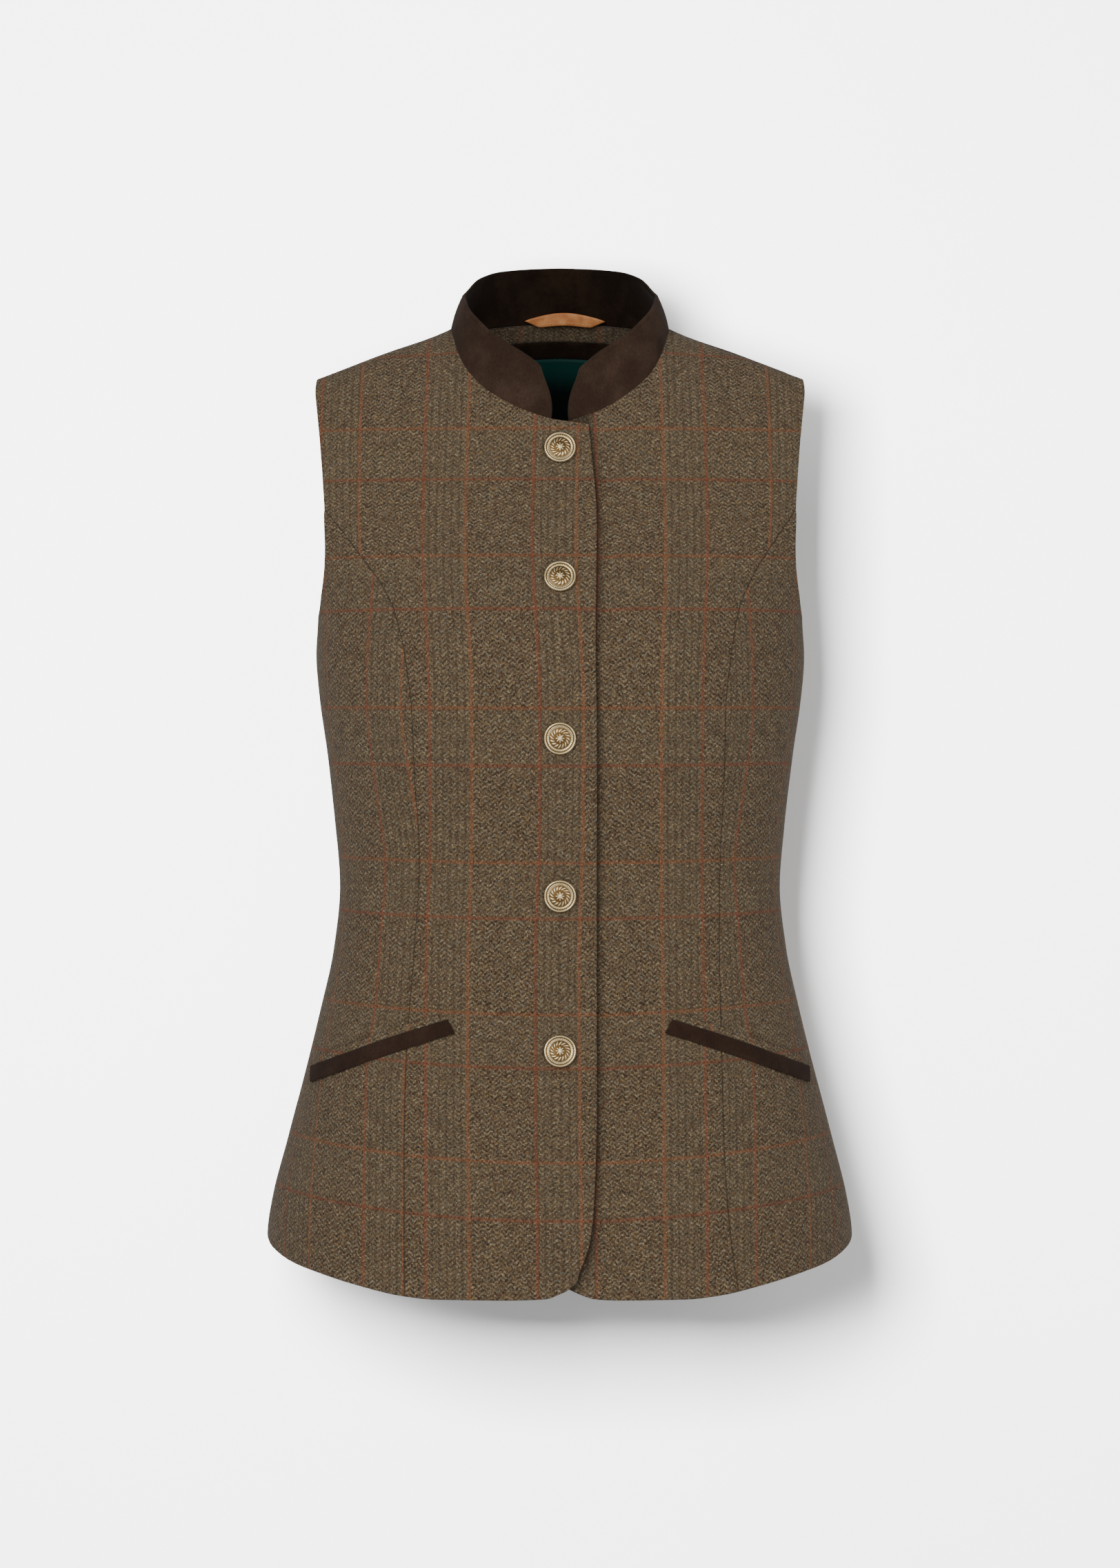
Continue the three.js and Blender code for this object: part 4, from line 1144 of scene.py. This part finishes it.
def collar():
    run = NeckRun()
    steps = 150
    lengths = [run.total * i / steps for i in range(steps + 1)]
    near = [0.15, 0.45, 0.9, 1.5, 2.4, 3.4, 4.6, 6.0]
    lengths = sorted({*lengths, *near, *(run.total - x for x in near)})
    heights = [0, 0.02, 0.06, 0.15, 0.3, 0.45, 0.6, 0.75, 0.84, 0.87, 0.885, 0.9, 0.915, 0.935, 0.96, 0.98,
               0.992, 1]
    grid = []
    for share in heights:
        row = []
        for length in lengths:
            point, rise, out, height = run.frame(length)
            # The collar is a little fuller at mid-height than at its seam and its top edge
            full = COLLAR_FULLNESS * math.sin(math.pi * share)
            full -= GROOVE_DEPTH * math.exp(-((share - GROOVE_SHARE) * height / GROOVE_WIDTH) ** 2)
            above = share * height - COLLAR_SEAT * (1 - share)
            row.append(grid_spot(point + rise * above + out * full, out, length, share * height))
        grid.append(row)
    edge_lengths(grid)
    return shell("stand_collar", grid, COLLAR_WALL,
                 lambda cell: min(cell["inner"], cell["outer"], cell["bottom"]),
                 lambda cell: cell["top"], [SUEDE, SUEDE_INSIDE_SHADE], dip=0.5, dip_width=0.9)


def collar_stitch_line():
    """The line of edge stitching, in the groove below the collar's top edge."""
    run = NeckRun()
    steps = 240
    lift = COLLAR_FULLNESS * math.sin(math.pi * GROOVE_SHARE) - GROOVE_DEPTH
    line = []
    for i in range(steps + 1):
        point, rise, out, height = run.frame(mix(STITCHED_FROM, run.total - STITCHED_FROM, i / steps))
        above = GROOVE_SHARE * height - COLLAR_SEAT * (1 - GROOVE_SHARE)
        line.append(point + rise * above + out * lift)
    return line


def inside_back(name, rows, reach, thickness, depth, materials, half=None):
    """A layer sewn inside the back, over whole rows and columns of the back's own grid."""
    edges = back_edges()
    fine = 6
    grid = []
    uv_of = grain_line("back")
    first, last = rows
    for r in [i / fine for i in range(fine * first, fine * last + 1)]:
        line = []
        for c in [i / fine for i in range(-fine * reach, fine * reach + 1)]:
            side = -1 if c < 0 else 1
            column = abs(c)
            if half is not None:
                column = column_at(edges, r, half * column / reach)
            point, normal = back_spot(edges, column, r, side)
            u, v = uv_of(*patch(edges, column / BACK_COLUMNS, back_share(r)))
            line.append(grid_spot(point, normal, (u - BACK_YARN_ACROSS) * side, -v))
        grid.append(line)
    edge_lengths(grid)
    # Painted shade: the layer is darkened all over, and more along its top and bottom edges
    return shell(name, grid, thickness, lambda cell: min(cell["inner"], cell["outer"]),
                 lambda cell: min(cell["top"], cell["bottom"]), materials, lift=-depth, dip=0.0, waves=False,
                 shaded=lambda cell: INSIDE_SHADE)


def label_stitch_line():
    """The stitching just inside the label's top edge."""
    edges = back_edges()
    depth = LINING_DEPTH + LINING_WALL + SEAM_GAP + LABEL_WALL + 0.1
    row = LABEL_ROWS[0] + 0.15
    line = []
    for across in range(1 - LABEL_HALF, LABEL_HALF):
        side = -1 if across < 0 else 1
        point, normal = back_spot(edges, column_at(edges, row, abs(across)), row, side)
        line.append(point - normal * depth)
    return line


def column_at(edges, row, across):
    """The back's column at a distance from the centre line, on one row."""
    low, high = 0.0, float(BACK_COLUMNS)
    for _ in range(18):
        middle = (low + high) / 2
        if surface(*patch(edges, middle / BACK_COLUMNS, back_share(row))).x < across:
            low = middle
        else:
            high = middle
    return (low + high) / 2


def hanger_loop():
    """The loop across the back of the collar's inside, and the line of its stitches."""
    run = NeckRun()
    stations = []
    steps = 120
    for i in range(steps + 1):
        point, rise, out, _ = run.frame(run.total * i / steps)
        if point.y > NECK_AXIS_Y + BEHIND_NECK:
            stations.append((point.x, point.y, point.z, out.x, out.y, out.z, rise.y))
    along = [curve([s[0] for s in stations], [s[k] for s in stations]) for k in range(1, 7)]
    y_at, level_at, out_x, out_y, out_z, lean_at = along

    def spot(share, edge):
        arch = math.sin(math.pi * share)
        across = mix(LOOP_FROM - LOOP_SLANT * edge, LOOP_TO + LOOP_SLANT * edge, share)
        half = LOOP_WIDTH / 2 * mix(LOOP_END, 1, arch ** 0.6)
        rise = LOOP_RISE * (2 * arch - 1) + edge * half
        normal = Vector((out_x(across), out_y(across), out_z(across))).normalized()
        inward = COLLAR_WALL + LOOP_CLOSE + LOOP_PROUD * arch
        point = Vector((across, y_at(across) + lean_at(across) * rise, level_at(across) + rise + LOOP_ABOVE))
        return point - normal * inward, normal

    grid = []
    fine = 48
    for edge in [1, 0.93, 0.8, 0.6, 0.3, 0, -0.3, -0.6, -0.8, -0.93, -1]:
        row = []
        for i in range(fine + 1):
            point, normal = spot(i / fine, edge)
            row.append(grid_spot(point, normal, point.x, edge * LOOP_WIDTH / 2))
        grid.append(row)
    edge_lengths(grid)
    piece = shell("tan_hanger_loop", grid, LOOP_WALL, lambda cell: min(cell["top"], cell["bottom"]),
                  lambda cell: FAR, [LEATHER], waves=False)
    seam = [spot(mix(LOOP_SEAM_INSET, 1 - LOOP_SEAM_INSET, i / 60), LOOP_SEAM_EDGE) for i in range(61)]
    return piece, [point - normal * (LOOP_WALL + 0.1) for point, normal in seam]


def front_spot(across, level):
    """A spot on the front's outer face, with its normal."""
    def at(dx, dz):
        return surface(*on_front(across + dx, level + dz))

    normal = (at(STEP, 0) - at(-STEP, 0)).cross(at(0, STEP) - at(0, -STEP)).normalized()
    return at(0, 0), normal


def pocket_strip(name, side, above, below, material, inset=0, mouth_shadow=lambda cell: FAR):
    """A strip on the front along the pocket's line, from above it to below it."""
    level_at = curve(POCKET_ACROSS, POCKET_LEVEL)
    outer = POCKET_ACROSS[-1] - inset
    end = turn_at(outer, level_at(outer))
    uv_of = grain_line("side")
    fine = 60
    heights = [0, 0.04, 0.1, 0.2, 0.35, 0.5, 0.65, 0.8, 0.9, 0.96, 1]
    grid = []
    for share in heights:
        row = []
        offset = mix(above, below, share)
        inner = POCKET_ACROSS[0] + inset + JET_SLANT * offset / (JET_HEIGHT / 2)
        start = turn_at(inner, level_at(inner))
        for i in [0, 0.1, 0.3, 0.6, *range(1, fine), fine - 0.6, fine - 0.3, fine - 0.1, fine]:
            turn = mix(start, end, i / fine)
            across = surface(turn, POCKET_LEVEL[1]).x
            level = level_at(across) + offset
            point, normal = front_spot(across, level)
            u, v = uv_of(turn_at(across, level), level)
            point.x *= side
            normal.x *= side
            row.append(grid_spot(point, normal, u, -v))
        grid.append(row)
    edge_lengths(grid)
    # Painted shadow: the strip's cloth darkens beside the edge that its last argument measures from
    return shell(name, grid, JET_WALL,
                 lambda cell: min(cell["inner"], cell["outer"], cell["top"], cell["bottom"]),
                 mouth_shadow, [material], lift=LAY_GAP + JET_WALL, dip=0.0, waves=False)


def relief(radius, angle):
    """Height and wear of a button's face at one spot.

    It has a domed middle with a rosette, a wreath, a beaded ring and a turned rim.
    """
    middle, bead_ring, rim = 7.3, 8.35, 9.95
    height = 1.9
    worn = 0.55
    if radius < middle:
        height += 1.3 * (1 - (radius / middle) ** 2)
        petal_edge = 3.1 * (0.74 + 0.26 * math.cos(PETALS * angle))
        petal = smoothstep(petal_edge - radius, -0.25, 0.45)
        eye = smoothstep(1.0 - radius, -0.2, 0.2)
        leaf = max(0.0, math.cos(LEAVES * angle + 2.1 * (radius - 5.2))) ** 0.6
        leaf *= max(0.0, 1 - ((radius - 5.4) / 1.55) ** 2)
        carved = max(petal * (0.7 + 0.3 * math.cos(PETALS * angle)), leaf, eye)
        height += 0.42 * carved
        worn = 0.12 + 0.78 * carved
    beads = math.exp(-((radius - bead_ring) / 0.42) ** 2)
    height += 0.42 * beads * (0.62 + 0.38 * math.cos(BEADS * angle))
    worn = mix(worn, 0.35 + 0.6 * max(0.0, math.cos(BEADS * angle)), min(1.0, beads * 1.2))
    turned = math.exp(-((radius - rim) / 0.62) ** 4)
    height += 0.95 * turned
    worn = mix(worn, 0.95, min(1.0, turned))
    groove = math.exp(-((radius - 9.1) / 0.22) ** 2)
    height -= 0.25 * groove
    worn = mix(worn, 0.0, min(1.0, groove))
    return height, worn


def button(name, centre, normal):
    """A shank button: rings of points over its face, round its edge and down its shank."""
    points = [Vector((0, 0, relief(0, 0)[0] + BUTTON_LIFT))]
    worn = [relief(0, 0)[1]]
    angles = [2 * math.pi * k / BUTTON_SECTORS for k in range(BUTTON_SECTORS)]
    rings = [[(radius, angle, *relief(radius, angle)) for angle in angles] for radius in BUTTON_RINGS]
    rings += [[(radius, angle, height, 0.5) for angle in angles] for radius, height in BUTTON_BACK]
    for ring in rings:
        for radius, angle, height, wear in ring:
            points.append(Vector((radius * math.cos(angle), radius * math.sin(angle), height + BUTTON_LIFT)))
            worn.append(wear)
    faces = [(0, 1 + k, 1 + (k + 1) % BUTTON_SECTORS) for k in range(BUTTON_SECTORS)]
    for ring in range(len(rings) - 1):
        start = 1 + ring * BUTTON_SECTORS
        for k in range(BUTTON_SECTORS):
            a, b = start + k, start + (k + 1) % BUTTON_SECTORS
            faces.append((a, a + BUTTON_SECTORS, b + BUTTON_SECTORS, b))
    foot = 1 + (len(rings) - 1) * BUTTON_SECTORS
    faces.append(tuple(foot + k for k in reversed(range(BUTTON_SECTORS))))
    right = (Vector((1, 0, 0)) - normal * normal.x).normalized()
    up = normal.cross(right)
    turn = Matrix((right, up, normal)).transposed()
    full = Vector((BUTTON_FULL, BUTTON_FULL, 1))
    points = [turn @ (p * full) + centre for p in points]
    piece = make_object(name, points, faces, [BRASS])
    store(piece, "worn", worn)
    return piece


# Stitching


def stitch_tree():
    """Thread lying along a line: one long bead for each stitch."""
    tree = bpy.data.node_groups.new("stitch_run", "GeometryNodeTree")
    face = tree.interface
    face.new_socket("Geometry", in_out="INPUT", socket_type="NodeSocketGeometry")
    for label, value in (("Spacing", 0.003), ("Length", 0.002), ("Thickness", 0.0005)):
        face.new_socket(label, in_out="INPUT", socket_type="NodeSocketFloat").default_value = value
    face.new_socket("Turn", in_out="INPUT", socket_type="NodeSocketFloat").default_value = 0.0
    face.new_socket("Thread", in_out="INPUT", socket_type="NodeSocketMaterial")
    face.new_socket("Geometry", in_out="OUTPUT", socket_type="NodeSocketGeometry")
    make = tree.nodes.new
    start, end = make("NodeGroupInput"), make("NodeGroupOutput")
    line = make("GeometryNodeMeshToCurve")
    resample = make("GeometryNodeResampleCurve")
    resample.mode = "LENGTH"
    tangent = make("GeometryNodeInputTangent")
    align = make("FunctionNodeAlignRotationToVector")
    align.axis = "X"
    spin = make("FunctionNodeRotateRotation")
    spin.rotation_space = "GLOBAL"
    axis_angle = make("FunctionNodeAxisAngleToRotation")
    axis_angle.inputs["Axis"].default_value = (0, 1, 0)
    bead = make("GeometryNodeMeshIcoSphere")
    bead.inputs["Radius"].default_value = 0.5
    bead.inputs["Subdivisions"].default_value = 2
    size = make("ShaderNodeCombineXYZ")
    place = make("GeometryNodeInstanceOnPoints")
    realize = make("GeometryNodeRealizeInstances")
    dress = make("GeometryNodeSetMaterial")
    wires = (
        (start, "Geometry", line, "Mesh"),
        (line, "Curve", resample, "Curve"),
        (start, "Spacing", resample, "Length"),
        (tangent, "Tangent", align, "Vector"),
        (align, "Rotation", spin, "Rotation"),
        (start, "Turn", axis_angle, "Angle"),
        (axis_angle, "Rotation", spin, "Rotate By"),
        (start, "Length", size, "X"),
        (start, "Thickness", size, "Y"),
        (start, "Thickness", size, "Z"),
        (resample, "Curve", place, "Points"),
        (bead, "Mesh", place, "Instance"),
        (spin, "Rotation", place, "Rotation"),
        (size, "Vector", place, "Scale"),
        (place, "Instances", realize, "Geometry"),
        (realize, "Geometry", dress, "Geometry"),
        (start, "Thread", dress, "Material"),
        (dress, "Geometry", end, "Geometry"),
    )
    for giver, output, taker, socket in wires:
        tree.links.new(giver.outputs[output], taker.inputs[socket])
    return tree


STITCHES = stitch_tree()


def stitch(name, lines, spacing, length, thickness, material, turn=0.0):
    """Stitches along one or more lines of points, in millimetres, as one plain mesh."""
    points, edges = [], []
    for line in lines:
        first = len(points)
        points.extend(p * MM for p in line)
        edges.extend((first + i, first + i + 1) for i in range(len(line) - 1))
    mesh = bpy.data.meshes.new(name + "_line")
    mesh.from_pydata(points, edges, [])
    carrier = link(bpy.data.objects.new(name + "_line", mesh))
    modifier = carrier.modifiers.new("stitches", "NODES")
    modifier.node_group = STITCHES
    inputs = {item.name: item.identifier for item in STITCHES.interface.items_tree
              if item.item_type == "SOCKET" and item.in_out == "INPUT"}
    sizes = {"Spacing": spacing * MM, "Length": length * MM, "Thickness": thickness * MM, "Turn": turn}
    for label, value in {**sizes, "Thread": material}.items():
        modifier[inputs[label]] = value
    seen = carrier.evaluated_get(bpy.context.evaluated_depsgraph_get())
    made = bpy.data.meshes.new_from_object(seen)
    carrier.modifiers.remove(modifier)
    bpy.data.objects.remove(carrier)
    made.name = name
    made.polygons.foreach_set("use_smooth", [True] * len(made.polygons))
    return link(bpy.data.objects.new(name, made))


def buttonhole_lines():
    """A line round the open end of each buttonhole, just proud of the cloth."""
    lines = []
    for level in BUTTON_LEVELS:
        centre, normal = front_spot(0.01, level)
        right = (Vector((1, 0, 0)) - normal * normal.x).normalized()
        up = normal.cross(right)
        turns = [math.pi / 2 + math.pi * i / 12 for i in range(13)]
        round_end = [(HOLE_FROM + HOLE_HALF * math.cos(t), HOLE_HALF * math.sin(t)) for t in turns]
        loop = [(HOLE_TO, HOLE_HALF), *round_end, (HOLE_TO, -HOLE_HALF)]
        lines.append([centre + right * x + up * z + normal * HOLE_PROUD for x, z in loop])
    return lines


# Everything is made, stands for its solid and moves with the waistcoat

made = {**fronts(), **backs()}
made["collar"] = collar()
made["back_neck_facing"] = inside_back("neck_facing_strip", FACING_ROWS, INSIDE_COLUMNS, FACING_WALL,
                                       LINING_DEPTH, [TWEED])
made["facing_band"] = inside_back("neck_band", BAND_ROWS, INSIDE_COLUMNS, FACING_WALL, LINING_DEPTH,
                                  [SUEDE_INSIDE_SHADE])
made["back_lining"] = inside_back("upper_back_lining", LINING_ROWS, INSIDE_COLUMNS, LINING_WALL, LINING_DEPTH,
                                  [LINING])
made["label"] = inside_back("plain_label", LABEL_ROWS, LABEL_COLUMNS, LABEL_WALL,
                            LINING_DEPTH + LINING_WALL + SEAM_GAP, [LABEL], half=LABEL_HALF)
made["hanger_loop"], loop_seam = hanger_loop()
jet_top = JET_HEIGHT / 2
lip_top = jet_top + SEAM_GAP + LIP_HEIGHT
for hand, sign in (("right", -1), ("left", 1)):
    made[f"pocket_{hand}_jet"] = pocket_strip(f"{hand}_pocket_suede", sign, jet_top, -jet_top, SUEDE_POCKET)
    # Each lip's top edge, at the pocket's mouth, gets a painted shadow line
    made[f"pocket_{hand}_lip"] = pocket_strip(f"{hand}_pocket_edge", sign, lip_top, jet_top, TWEED,
                                              LIP_INSET, lambda cell: cell["top"])
for number, level in enumerate(BUTTON_LEVELS, 1):
    spot, way = front_spot(0.01, level)
    made[f"button_{number}"] = button(f"shank_button_{number}", spot, way)

for node, piece in made.items():
    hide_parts(node)
    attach(piece, "root")

threads = [
    stitch("loop_stitches", [loop_seam], 2.6, 2.0, 0.45, PALE_THREAD),
    stitch("buttonhole_stitches", buttonhole_lines(), 0.55, 1.3, 0.5, DARK_THREAD, math.pi / 2),
    stitch("collar_stitches", [collar_stitch_line()], 2.4, 1.7, 0.28, COLLAR_THREAD),
    stitch("label_stitches", [label_stitch_line()], 1.9, 1.3, 0.4, LABEL_THREAD),
]
for piece in threads:
    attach(piece, "root")


# The flat size and area of each piece of cloth, as it was cut


def cut_of(piece, strip_height=None):
    """Width and length of the cloth that shows, laid out flat, and its area, in metres.

    A panel's own map lays it out. A slanted strip is as wide as it is high, and as long as its area makes it.
    """
    area = sum(face.area for face in piece.data.polygons) / 2
    spots = [corner.uv for corner in piece.data.uv_layers["UVMap"].data]
    width = max(s.x for s in spots) - min(s.x for s in spots)
    length = max(s.y for s in spots) - min(s.y for s in spots)
    if strip_height:
        width, length = area / (strip_height * MM), strip_height * MM
    width, length = max(LEAST_CUT, width), max(LEAST_CUT, length)
    return (width, length), min(area, width * length)


STRIP_HEIGHT = {"jet": JET_HEIGHT, "lip": LIP_HEIGHT}
WHOLE_BACK = ["back_right", "back_left"]
HELD = {
    "front_right_centre": ("hung", ["back_right"]),
    "front_left_centre": ("hung", ["back_left"]),
    "front_right_side": ("hung", ["front_right_centre", "back_right"]),
    "front_left_side": ("hung", ["front_left_centre", "back_left"]),
    "back_right": ("hung", ["front_right_centre"]),
    "back_left": ("hung", ["front_left_centre"]),
    "collar": ("folded", ["front_right_centre", "front_left_centre", *WHOLE_BACK]),
    "back_neck_facing": ("laid", WHOLE_BACK),
    "facing_band": ("laid", WHOLE_BACK),
    "back_lining": ("laid", WHOLE_BACK),
    "label": ("laid", ["back_lining"]),
    "hanger_loop": ("laid", ["collar"]),
    "pocket_right_jet": ("laid", ["front_right_centre", "front_right_side"]),
    "pocket_right_lip": ("laid", ["front_right_centre", "front_right_side"]),
    "pocket_left_jet": ("laid", ["front_left_centre", "front_left_side"]),
    "pocket_left_lip": ("laid", ["front_left_centre", "front_left_side"]),
}
for node, (held, rests_on) in HELD.items():
    flat, area = cut_of(made[node], STRIP_HEIGHT.get(node.split("_")[-1]))
    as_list(rests_on)


# Stage, light and camera


def paper(name, see_through_behind=False):
    n = Nodes(name)
    material = n.finish((0.82, 0.82, 0.82, 1), 1.0, specular=0.0)
    if see_through_behind:
        # Seen from behind, the backdrop doesn't hide the back of the garment
        clear = n.add("ShaderNodeBsdfTransparent")
        sides = n.add("ShaderNodeMixShader")
        n.feed(sides.inputs[0], n.add("ShaderNodeNewGeometry").outputs["Backfacing"])
        n.feed(sides.inputs[1], n.shader.outputs[0])
        n.feed(sides.inputs[2], clear.outputs[0])
        n.feed(n.tree.nodes["Material Output"].inputs["Surface"], sides.outputs[0])
    return material


def plane(name, corners, material):
    mesh = bpy.data.meshes.new(name)
    mesh.from_pydata(corners, [], [(0, 1, 2, 3)])
    mesh.materials.append(material)
    thing = link(bpy.data.objects.new(name, mesh))
    return thing


plane("floor", [(-ROOM, -ROOM, FLOOR_LEVEL), (ROOM, -ROOM, FLOOR_LEVEL), (ROOM, ROOM, FLOOR_LEVEL),
                (-ROOM, ROOM, FLOOR_LEVEL)], paper("floor_paper"))
backdrop = plane("backdrop", [(-ROOM, WALL_BEHIND, FLOOR_LEVEL), (ROOM, WALL_BEHIND, FLOOR_LEVEL),
                              (ROOM, WALL_BEHIND, ROOM), (-ROOM, WALL_BEHIND, ROOM)],
                 paper("backdrop_paper", True))
for way in ("shadow", "diffuse", "glossy", "transmission"):
    setattr(backdrop, f"visible_{way}", False)

world = bpy.data.worlds.new("studio")
world.use_nodes = True
background = world.node_tree.nodes["Background"].inputs
background["Color"].default_value = (1, 1, 1, 1)
background["Strength"].default_value = WORLD_LIGHT
bpy.context.scene.world = world


def soft_box(name, place, target, size, power):
    data = bpy.data.lights.new(name, "AREA")
    data.shape = "SQUARE"
    data.size = size
    data.energy = power
    lamp = link(bpy.data.objects.new(name, data))
    lamp.location = place
    lamp.rotation_euler = (Vector(target) - Vector(place)).to_track_quat("-Z", "Y").to_euler()
    return lamp


MIDDLE = (0, 0, -0.3)
BACKDROP_MIDDLE = (0, WALL_BEHIND, -0.32)
soft_box("key", (-1.3, -2.5, 0.9), MIDDLE, 1.5, KEY_POWER)
soft_box("fill", (1.5, -2.5, 0.3), MIDDLE, 1.8, FILL_POWER)
soft_box("back_fill", (0, 3.0, 0.6), MIDDLE, 2.0, BACK_POWER)
backdrop_lamps = [
    soft_box("backdrop_lamp", (-0.32, -2.0, -0.12), BACKDROP_MIDDLE, 0.5, BACKDROP_POWER),
    soft_box("backdrop_wash", (0.0, -2.0, -0.2), BACKDROP_MIDDLE, 3.0, WASH_POWER),
]
lit = bpy.data.collections.new("lit_by_backdrop_lamps")
lit.objects.link(backdrop)
for lamp in backdrop_lamps:
    lamp.light_linking.receiver_collection = lit

camera_data = bpy.data.cameras.new("camera")
camera = link(bpy.data.objects.new("camera", camera_data))
camera.location = (0, -EYE_DISTANCE, EYE_LEVEL)
camera.rotation_euler = (math.pi / 2, 0, 0)
camera_data.sensor_width = SENSOR
camera_data.lens = SENSOR / 2 / (FRAME_HEIGHT / 2 / EYE_DISTANCE)
bpy.context.scene.camera = camera
